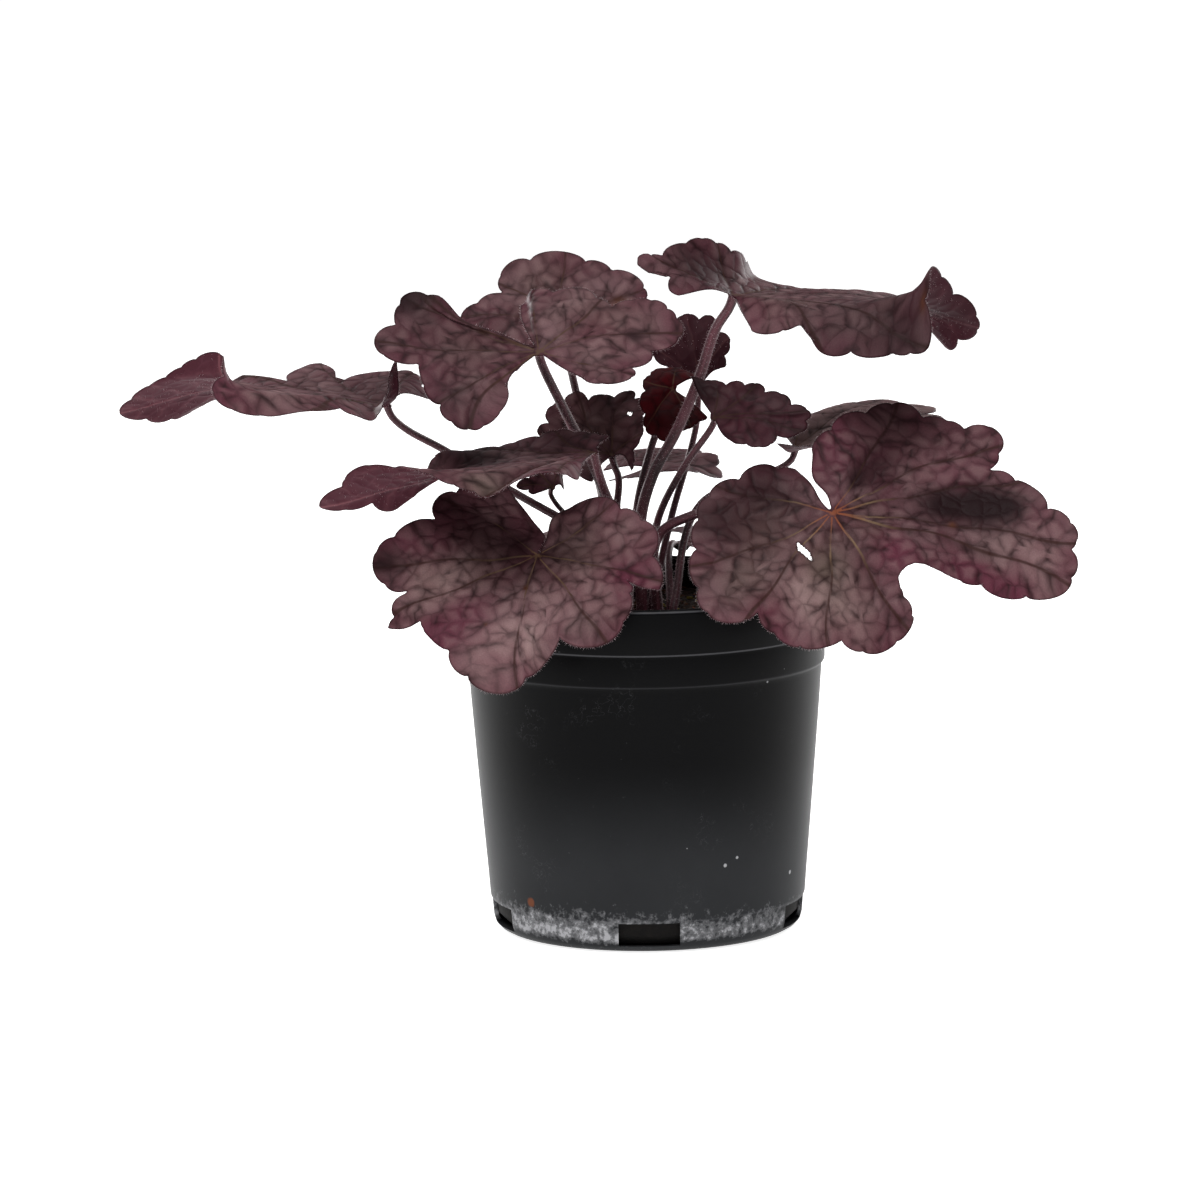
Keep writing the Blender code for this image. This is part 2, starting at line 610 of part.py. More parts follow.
def smooth_path(points, knots, places):
    """Places on the curve that passes through points at their knots, as rows of x, y, z.

    Past the last knot the curve goes on straight.
    """
    points = np.asarray(points, float)
    knots = np.asarray(knots, float)
    places = np.asarray(places, float)
    slopes = np.empty_like(points)
    chords = np.diff(points, axis=0) / np.diff(knots)[:, None]
    slopes[0], slopes[-1] = chords[0], chords[-1]
    share = (np.diff(knots)[1:] / (knots[2:] - knots[:-2]))[:, None]
    slopes[1:-1] = chords[:-1] * share + chords[1:] * (1 - share)
    inside = np.clip(places, knots[0], knots[-1])
    part = np.clip(np.searchsorted(knots, inside, side="right") - 1, 0, len(knots) - 2)
    step = (knots[part + 1] - knots[part])[..., None]
    s = (inside - knots[part])[..., None] / step
    curve = (2 * s**3 - 3 * s**2 + 1) * points[part] + (s**3 - 2 * s**2 + s) * step * slopes[part]
    curve += (3 * s**2 - 2 * s**3) * points[part + 1] + (s**3 - s**2) * step * slopes[part + 1]
    return curve + np.maximum(places - knots[-1], 0)[..., None] * slopes[-1]


def knots_along(points):
    """The share of the way along a run of points at which each of them comes."""
    lengths = np.linalg.norm(np.diff(np.asarray(points, float), axis=0), axis=1)
    return np.concatenate([[0.0], np.cumsum(lengths)]) / lengths.sum()


class Blade:
    """The curved sheet of one leaf: across(u, t) is its place at vein u and a share t of its length."""

    def __init__(self, leaf):
        self.joint = np.array(leaf.joint, float)
        self.veins = [np.vstack([self.joint, vein]) for vein in leaf.veins]
        self.notches = np.array(leaf.notches) / 100
        self.last = len(self.veins) - 1
        fine = np.linspace(0, self.last, SAMPLES_PER_VEIN * self.last + 1)
        margin = self.across(fine, self.lobes(fine))
        self.fine, self.share = fine, knots_along(margin)
        self.length = np.linalg.norm(np.diff(margin, axis=0), axis=1).sum()
        self.teeth = max(4, round(self.length / TOOTH_PITCH))

    def across(self, u, t):
        """Catmull-Rom across the veins, each read at the same share of its length."""
        u, t = np.broadcast_arrays(np.asarray(u, float), np.asarray(t, float))
        lines = np.stack([smooth_path(vein, knots_along(vein), t) for vein in self.veins])
        part = np.clip(np.floor(u).astype(int), 0, self.last - 1)
        f = (u - part)[..., None]

        def line(number):
            number = np.clip(number, 0, self.last)[None, ..., None]
            return np.take_along_axis(lines, np.broadcast_to(number, (1, *u.shape, 3)), axis=0)[0]

        b, c = line(part), line(part + 1)
        a = np.where((part > 0)[..., None], line(part - 1), 2 * b - c)
        d = np.where((part < self.last - 1)[..., None], line(part + 2), 2 * c - b)
        square = 2 * a - 5 * b + 4 * c - d
        return 0.5 * (2 * b + (c - a) * f + square * f**2 + (3 * b - a - 3 * c + d) * f**3)

    def lobes(self, u):
        """How far the blade reaches at vein u, with the notches between lobes cut in."""
        part = np.clip(np.floor(u).astype(int), 0, self.last - 1)
        middle = 1 - 2 * np.abs(u - part - 0.5)
        return 1 - self.notches[part] * middle**NOTCH_ROUNDNESS

    def row(self, reach, count):
        """One row of the sheet, count places at an even pitch, with the teeth growing outwards."""
        along = np.linspace(0, 1, count)
        u = np.interp(along, self.share, self.fine)
        tooth = np.abs(np.sin(pi * self.teeth * along)) ** TOOTH_ROUNDNESS
        scallop = 1 + TOOTH_DEPTH * (tooth - 0.5) * reach**2
        return u, self.across(u, reach * self.lobes(u) * scallop)

    def collar(self, radius):
        """The first row: a ring of STALK_SIDES places round the joint, open towards the sinus."""
        ways = self.across(np.arange(self.last + 1), NEAR_JOINT) - self.joint
        ways /= np.linalg.norm(ways, axis=1)[:, None]
        upward = np.cross(ways[:-1], ways[1:]).sum(axis=0)
        upward /= np.linalg.norm(upward)
        right = ways[0] - upward * ways[0].dot(upward)
        right /= np.linalg.norm(right)
        back = np.cross(upward, right)
        turns = np.unwrap(np.arctan2(ways @ back, ways @ right))
        start = (turns[-1] - 2 * pi) / 2
        turn = start + 2 * pi * (np.arange(STALK_SIDES) + 0.5) / STALK_SIDES
        ring = np.outer(np.cos(turn), right) + np.outer(np.sin(turn), back)
        return np.interp(turn, turns, np.arange(self.last + 1)), self.joint + ring * radius


def zipped(first, first_at, second, second_at):
    """Triangles between two rows of point numbers, matched by how far along each of them is."""
    faces = []
    i = j = 0
    while i < len(first) - 1 or j < len(second) - 1:
        ahead = i < len(first) - 1 and (
            j == len(second) - 1 or first_at[i + 1] + first_at[i] < second_at[j + 1] + second_at[j]
        )
        if ahead:
            faces.append((first[i], second[j], first[i + 1]))
            i += 1
        else:
            faces.append((first[i], second[j], second[j + 1]))
            j += 1
    return faces


def corner_normals(points, faces):
    """The mean direction of the faces round each point, larger faces counting for more."""
    normals = np.zeros_like(points)
    for face in faces:
        a, b, c = (points[k] for k in face)
        normals[list(face)] += np.cross(b - a, c - a)
    return normals / np.linalg.norm(normals, axis=1)[:, None]


def blade_sheet(leaf):
    """Points, triangles and rows of a leaf's middle sheet, whose first point is its joint."""
    blade = Blade(leaf)
    whole = blade.teeth * SAMPLES_PER_TOOTH + 1
    u, ring = blade.collar(leaf.stalk * COLLAR)
    points = [blade.joint, *ring]
    rows = [(list(range(1, STALK_SIDES + 1)), u)]
    for reach, share in BLADE_ROWS:
        count = max(STALK_SIDES, round(whole * share))
        u, places = blade.row(reach, count)
        rows.append((list(range(len(points), len(points) + count)), u))
        points.extend(places)
    collar = rows[0][0]
    faces = [(0, a, b) for a, b in zip(collar, collar[1:] + collar[:1])]
    for (low, low_at), (high, high_at) in zip(rows, rows[1:]):
        faces += zipped(low, low_at, high, high_at)
    return np.array(points), faces, [numbers for numbers, _ in rows]


def stalk_line(leaf, foot, neck, upward):
    """Places down a leaf's stalk, from just under its blade to its foot in the soil."""
    low = SOIL_TOP - HOLE_DEPTH + GAP
    x, y = leaf.base
    route = np.array([(x, y, SOIL_TOP + STALK_UPRIGHT), *leaf.route, neck - upward * STALK_BEND, neck])
    length = np.linalg.norm(np.diff(route, axis=0), axis=1).sum()
    count = max(3, round(length / STALK_PITCH))
    near = np.array(BEND_RINGS) * STALK_BEND / length
    down = np.concatenate([near, np.linspace(near[-1], 1, count)[1:]])
    line = smooth_path(route, knots_along(route), 1 - down)
    radii = np.interp(down, [0, 1], [leaf.stalk, foot])
    return np.vstack([line, (x, y, low)]), np.append(radii, foot * FOOT_TAPER)


def stalk_rings(line, radii, start, outward):
    """Rings of points round a line, turned as little as possible from one to the next."""
    rings = []
    side = outward
    ways = np.gradient(line, axis=0)
    ways[0] = (ways[0] / np.linalg.norm(ways[0]) - start) / 2
    ways[-1] = ways[-2] = (0.0, 0.0, -1.0)
    for place, way, radius in zip(line, ways, radii):
        way = way / np.linalg.norm(way)
        side = side - way * side.dot(way)
        side = side / np.linalg.norm(side)
        other = np.cross(side, way)
        for step in range(STALK_SIDES):
            turn = 2 * pi * step / STALK_SIDES
            rings.append(place + radius * (cos(turn) * side + sin(turn) * other))
    return rings


def make_leaf(name, leaf, material):
    """One closed body: the sheet's two faces, the band round its margin, and the stalk."""
    sheet, triangles, rows = blade_sheet(leaf)
    normals = corner_normals(sheet, triangles)
    count = len(sheet)
    half = BLADE_THICKNESS / 2
    points = [*(sheet + normals * half), *(sheet - normals * half)]
    faces = list(triangles)
    faces += [tuple(count + k for k in reversed(face)) for face in triangles if 0 not in face]
    ends = [row[0] for row in rows], [row[-1] for row in rows]
    border = ends[0][::-1] + [rows[0][-1]] + ends[1][1:] + rows[-1][-2:0:-1]
    for a, b in zip(border, border[1:] + border[:1]):
        faces.append((a, b, b + count, a + count))
    collar = rows[0]
    neck = sheet[0] - normals[0] * (half + STALK_NECK)
    line, radii = stalk_line(leaf, stalk_foot(leaf), neck, normals[0])
    outward = sheet[collar[0]] - sheet[0]
    first = len(points)
    points += stalk_rings(line, radii, normals[0], outward)
    upper = [count + k for k in collar]
    for ring in range(len(line)):
        lower = [first + ring * STALK_SIDES + k for k in range(STALK_SIDES)]
        for k in range(STALK_SIDES):
            after = (k + 1) % STALK_SIDES
            faces.append((upper[k], lower[k], lower[after]))
            faces.append((upper[k], lower[after], upper[after]))
        upper = lower
    faces.append(tuple(reversed(upper)))
    return object_from(name, points, faces, material, smooth_angle=50)


def main():
    clear_scene()
    make_pot()
    make_soil()
    make_crown()
    purple = finish("purple heuchera leaf", (0.105, 0.052, 0.060), 0.5)
    for name, leaf in LEAVES.items():
        make_leaf(name, leaf, purple)


main()
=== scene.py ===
"""A heuchera in its nursery pot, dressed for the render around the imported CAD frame.

Sizes are in millimetres and turn to metres when a mesh is made. X points right, Y away from the
viewer and Z up, from the centre of the pot's base. Each class is one sub-assembly with its sizes
as fields; each finish is a frozen dataclass that makes its material.
"""

import logging
from dataclasses import dataclass, field, replace
from enum import Enum
from math import cos, pi, radians, sin
from typing import NamedTuple

import bpy
import numpy as np
from mathutils import Matrix, Vector, kdtree, noise


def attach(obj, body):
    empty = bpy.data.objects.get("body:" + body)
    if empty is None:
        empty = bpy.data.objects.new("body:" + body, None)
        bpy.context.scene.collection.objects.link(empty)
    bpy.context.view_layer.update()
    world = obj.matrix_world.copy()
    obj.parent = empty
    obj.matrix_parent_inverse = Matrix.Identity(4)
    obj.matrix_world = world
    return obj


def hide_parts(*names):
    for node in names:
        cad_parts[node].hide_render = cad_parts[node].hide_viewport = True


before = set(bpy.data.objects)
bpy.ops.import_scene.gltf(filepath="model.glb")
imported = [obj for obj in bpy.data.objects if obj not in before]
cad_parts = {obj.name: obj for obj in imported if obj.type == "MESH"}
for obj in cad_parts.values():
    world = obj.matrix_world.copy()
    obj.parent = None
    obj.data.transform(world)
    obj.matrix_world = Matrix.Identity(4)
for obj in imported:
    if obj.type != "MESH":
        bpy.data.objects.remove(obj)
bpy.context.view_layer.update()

LOG = logging.getLogger("heuchera")
MM = 0.001

# Node kinds that are used often.
SHADE_READ = "ShaderNodeAttribute"
SHAPE_READ = "GeometryNodeInputNamedAttribute"
SPLIT = "ShaderNodeSeparateXYZ"
RANDOM = "FunctionNodeRandomValue"
MATH = "ShaderNodeMath"
VECTOR = "ShaderNodeVectorMath"
MIX = "ShaderNodeMix"
RANGE = "ShaderNodeMapRange"
NOISE = "ShaderNodeTexNoise"
CELLS = "ShaderNodeTexVoronoi"
BUMP = "ShaderNodeBump"

Array = np.ndarray
Material = bpy.types.Material
Mesh = bpy.types.Mesh
Node = bpy.types.Node
Piece = bpy.types.Object
Socket = bpy.types.NodeSocket
Tree = bpy.types.NodeTree


def linear(code: str) -> tuple[float, float, float, float]:
    """Turns an sRGB hex colour to linear.

    Args:
        code: six hex digits, red first.

    Returns:
        Linear red, green and blue, and an alpha of one.
    """
    levels = [int(code[k:k + 2], 16) / 255 for k in (0, 2, 4)]
    return (*[v / 12.92 if v <= 0.04045 else ((v + 0.055) / 1.055) ** 2.4 for v in levels], 1.0)


@dataclass
class Graph:
    """A node tree of a material or of Geometry Nodes while it is built."""

    tree: Tree

    def add(self, kind: str, links: dict | None = None, out: int | str = 0,
            **settings) -> Socket | None:
        """Adds one node.

        Args:
            kind: the node's type.
            links: for each input, by name or number, a socket to link or a value to set.
            out: the output wanted, by name or number.
            settings: the node's own properties.

        Returns:
            The output asked for, or None where the node has none.
        """
        node = self.tree.nodes.new(kind)
        for name, value in settings.items():
            setattr(node, name, value)
        for key, value in (links or {}).items():
            if isinstance(value, Socket):
                self.tree.links.new(value, node.inputs[key])
            else:
                node.inputs[key].default_value = value
        return node.outputs[out] if node.outputs else None


def new_material(name: str) -> tuple[Material, Graph, Node]:
    """Makes an empty Principled material.

    Args:
        name: what the material is called.

    Returns:
        The material, its graph and its Principled node.
    """
    material = bpy.data.materials.new(name)
    material.use_nodes = True
    return material, Graph(material.node_tree), material.node_tree.nodes["Principled BSDF"]


def set_shader(graph: Graph, shader: Node, values: dict) -> None:
    """Sets or links a shader's sockets.

    Args:
        graph: the tree that holds the shader.
        shader: the Principled node.
        values: for each input's name, a socket to link or a value to set.
    """
    for name, value in values.items():
        if isinstance(value, Socket):
            graph.tree.links.new(value, shader.inputs[name])
        else:
            shader.inputs[name].default_value = value


def mesh_object(name: str, points: Array, faces: list) -> Piece:
    """Makes a smooth-shaded object at the world's origin.

    Args:
        name: the object's name.
        points: its points in millimetres.
        faces: its faces as tuples of point numbers.

    Returns:
        The object, linked to the scene.
    """
    mesh = bpy.data.meshes.new(name)
    mesh.from_pydata((np.asarray(points, float) * MM).tolist(), [], faces)
    mesh.shade_smooth()
    piece = bpy.data.objects.new(name, mesh)
    bpy.context.scene.collection.objects.link(piece)
    return piece


def write_attribute(mesh: Mesh, name: str, values: Array, domain: str = "POINT") -> None:
    """Stores one number or one vector for each point or face.

    Args:
        mesh: the mesh to store them on.
        name: the attribute's name.
        values: one row for each point or face; whole numbers make a whole-number attribute.
        domain: POINT or FACE.
    """
    values = np.asarray(values)
    whole = values.dtype.kind == "i"
    sort = "FLOAT_VECTOR" if values.ndim == 2 else "INT" if whole else "FLOAT"
    key = "vector" if values.ndim == 2 else "value"
    numbers = values.astype(np.int32 if whole else np.float32).ravel()
    mesh.attributes.new(name, sort, domain).data.foreach_set(key, numbers)


def grown(source: Piece, name: str, tree: Tree, values: dict) -> Mesh:
    """Runs a Geometry Nodes tree on an object and keeps what it makes.

    Args:
        source: the object to run it on, which stays as it was.
        name: the name for the new mesh.
        tree: the tree.
        values: a value for each of the tree's named inputs.

    Returns:
        A plain mesh.
    """
    modifier = source.modifiers.new(name, "NODES")
    modifier.node_group = tree
    sockets = {s.name: s.identifier for s in tree.interface.items_tree if s.in_out == "INPUT"}
    for key, value in values.items():
        modifier[sockets[key]] = value
    depsgraph = bpy.context.evaluated_depsgraph_get()
    depsgraph.update()
    mesh = bpy.data.meshes.new_from_object(
        source.evaluated_get(depsgraph), preserve_all_data_layers=True, depsgraph=depsgraph
    )
    source.modifiers.remove(modifier)
    mesh.name = name
    return mesh


def new_tree(name: str, inputs: dict[str, str]) -> tuple[Graph, Node]:
    """Starts a Geometry Nodes tree.

    Args:
        name: the tree's name.
        inputs: the socket type of each named input after the geometry.

    Returns:
        Its graph and its group input node.
    """
    tree = bpy.data.node_groups.new(name, "GeometryNodeTree")
    tree.interface.new_socket("Geometry", in_out="INPUT", socket_type="NodeSocketGeometry")
    for key, kind in inputs.items():
        tree.interface.new_socket(key, in_out="INPUT", socket_type=f"NodeSocket{kind}")
    tree.interface.new_socket("Geometry", in_out="OUTPUT", socket_type="NodeSocketGeometry")
    graph = Graph(tree)
    return graph, graph.add("NodeGroupInput").node


def drift(graph: Graph, place: Socket, pitch: float, detail: float, size: float) -> Socket:
    """Adds the nodes that give each place a smooth random shift.

    Args:
        graph: the tree to add them to.
        place: where the shift is read.
        pitch: how far apart its swells are.
        detail: how much finer swell lies on them.
        size: how long a shift is, at most, from end to end of its range.

    Returns:
        The shift, a vector.
    """
    add = graph.add
    shift = add(NOISE, {"Vector": place, "Scale": 1 / pitch, "Detail": detail}, "Color")
    shift = add(VECTOR, {0: shift, 1: (0.5, 0.5, 0.5)}, operation="SUBTRACT")
    return add(VECTOR, {0: shift, 3: size}, operation="SCALE")


def turned_body(rings: list, ends: tuple, downwards: bool = False) -> tuple[Array, list]:
    """Closes a stack of rings with a point at each end.

    Args:
        rings: the points of each ring, all of one count and anticlockwise from above.
        ends: the middle of the first end and of the last.
        downwards: whether the stack runs down its outside, and not up.

    Returns:
        Points and faces of a closed body.
    """
    sides = len(rings[0])
    starts = [1 + sides * k for k in range(len(rings))]
    points = [ends[0], *(point for ring in rings for point in ring), ends[1]]
    last = len(points) - 1
    faces = []
    for k in range(sides):
        after = (k + 1) % sides
        faces.append((0, starts[0] + after, starts[0] + k))
        faces += [(a + k, a + after, b + after, b + k) for a, b in zip(starts, starts[1:])]
        faces.append((last, starts[-1] + k, starts[-1] + after))
    if downwards:
        faces = [(face[0], *face[:0:-1]) for face in faces]
    return np.array(points), faces


def turns(count: int) -> Array:
    """The angles of a ring's points."""
    return 2 * pi * np.arange(count) / count


def run(text: str) -> list[tuple]:
    """Reads groups of numbers that are parted by commas."""
    return [tuple(float(number) for number in group.split()) for group in text.split(",")]


def runs(text: str) -> list[list[tuple]]:
    """Reads runs of such groups that are parted by semicolons."""
    return [run(row) for row in text.split(";")]


def unit(rows: Array) -> Array:
    """The rows, each scaled to a length of one."""
    return rows / np.linalg.norm(rows, axis=1)[:, None]


def smooth_path(points: Array, knots: Array, places: Array) -> Array:
    """Reads the curve that passes through points at their knots.

    Args:
        points: the points, one row each.
        knots: where along the curve each comes.
        places: where to read it; past the last knot it goes on straight.

    Returns:
        One row for each place.
    """
    points, knots, places = (np.asarray(v, float) for v in (points, knots, places))
    slopes = np.empty_like(points)
    chords = np.diff(points, axis=0) / np.diff(knots)[:, None]
    slopes[0], slopes[-1] = chords[0], chords[-1]
    share = (np.diff(knots)[1:] / (knots[2:] - knots[:-2]))[:, None]
    slopes[1:-1] = chords[:-1] * share + chords[1:] * (1 - share)
    inside = np.clip(places, knots[0], knots[-1])
    part = np.clip(np.searchsorted(knots, inside, side="right") - 1, 0, len(knots) - 2)
    step = (knots[part + 1] - knots[part])[..., None]
    s = (inside - knots[part])[..., None] / step
    curve = (2 * s**3 - 3 * s**2 + 1) * points[part] + (s**3 - 2 * s**2 + s) * step * slopes[part]
    curve += (3 * s**2 - 2 * s**3) * points[part + 1] + (s**3 - s**2) * step * slopes[part + 1]
    return curve + np.maximum(places - knots[-1], 0)[..., None] * slopes[-1]


def bent_path(points: Array, places: Array) -> Array:
    """Reads a curve through points that turns at each as gently as its neighbours allow.

    Args:
        points: the points, one row each.
        places: shares of the way along the straight runs between them.

    Returns:
        One row for each place.
    """
    knots = knots_along(points)
    chords = np.diff(points, axis=0)
    sizes = np.linalg.norm(chords, axis=1)[:, None]
    ways = chords / sizes
    bends = unit(np.vstack([ways[0], ways[:-1] + ways[1:], ways[-1]]))
    part = np.clip(np.searchsorted(knots, places, side="right") - 1, 0, len(knots) - 2)
    s = ((places - knots[part]) / (knots[part + 1] - knots[part]))[:, None]
    curve = (2 * s**3 - 3 * s**2 + 1) * points[part] + (3 * s**2 - 2 * s**3) * points[part + 1]
    turning = (s**3 - 2 * s**2 + s) * bends[part] + (s**3 - s**2) * bends[part + 1]
    return curve + sizes[part] * turning


def knots_along(points: Array) -> Array:
    """The share of the way along a run of points at which each of them comes."""
    lengths = np.linalg.norm(np.diff(np.asarray(points, float), axis=0), axis=1)
    return np.concatenate([[0.0], np.cumsum(lengths)]) / lengths.sum()


def zipped(first: list, first_at: Array, second: list, second_at: Array) -> list:
    """Joins two rows of points with triangles.

    Args:
        first: the point numbers of the inner row.
        first_at: how far along each of them is.
        second: the point numbers of the outer row.
        second_at: how far along each of them is.

    Returns:
        The triangles.
    """
    faces = []
    i = j = 0
    last_i, last_j = len(first) - 1, len(second) - 1
    while i < last_i or j < last_j:
        onward = j == last_j or (
            i < last_i and first_at[i + 1] + first_at[i] < second_at[j + 1] + second_at[j]
        )
        if onward:
            faces.append((first[i], second[j], first[i + 1]))
            i += 1
        else:
            faces.append((first[i], second[j], second[j + 1]))
            j += 1
    return faces


class Mood(Enum):
    """A wash of colour that lies on part of a blade; the value is its column in the attributes. The
    dark wash is partly the leaf's own dark tone and partly painted shade, on lobes that face away
    from the light or lie deep in the plant; the pale wash is partly its own pale tone and partly
    painted highlight.
    """

    MAROON = 0
    DARK = 1
    OLIVE = 2
    PALE_AND_HIGHLIGHT = 3
    SPOT = 4


class Leaf(NamedTuple):
    """One leaf, in millimetres.

    base is where its stalk leaves the soil, stalk the stalk's radius, route the points it passes
    and joint where the blade starts. Each line runs from the joint through its points to the
    margin, and the lines are listed anticlockwise round the joint as seen from the leaf's upper
    side. mains are the lines that carry a main vein. rim sets down the margin's cusps, each a
    line, a share of the way out, and how full the scallops beside it are where that isn't 1. A
    leaf without it has notches: for each gap between two lines, how far the margin cuts in
    there, in percent of their length. slits are each a width and a run of lines with shares of
    the way out. washes holds, for each mood, patches: line, share of the way out, size and
    strength. warmth says how orange the main veins are near the joint. Points and patches are
    texts that run and runs read.
    """

    base: tuple
    stalk: float
    joint: tuple
    mains: tuple
    route: str
    lines: str
    rim: str = ""
    notches: tuple = ()
    slits: tuple = ()
    washes: dict = {}
    warmth: float = 0.15


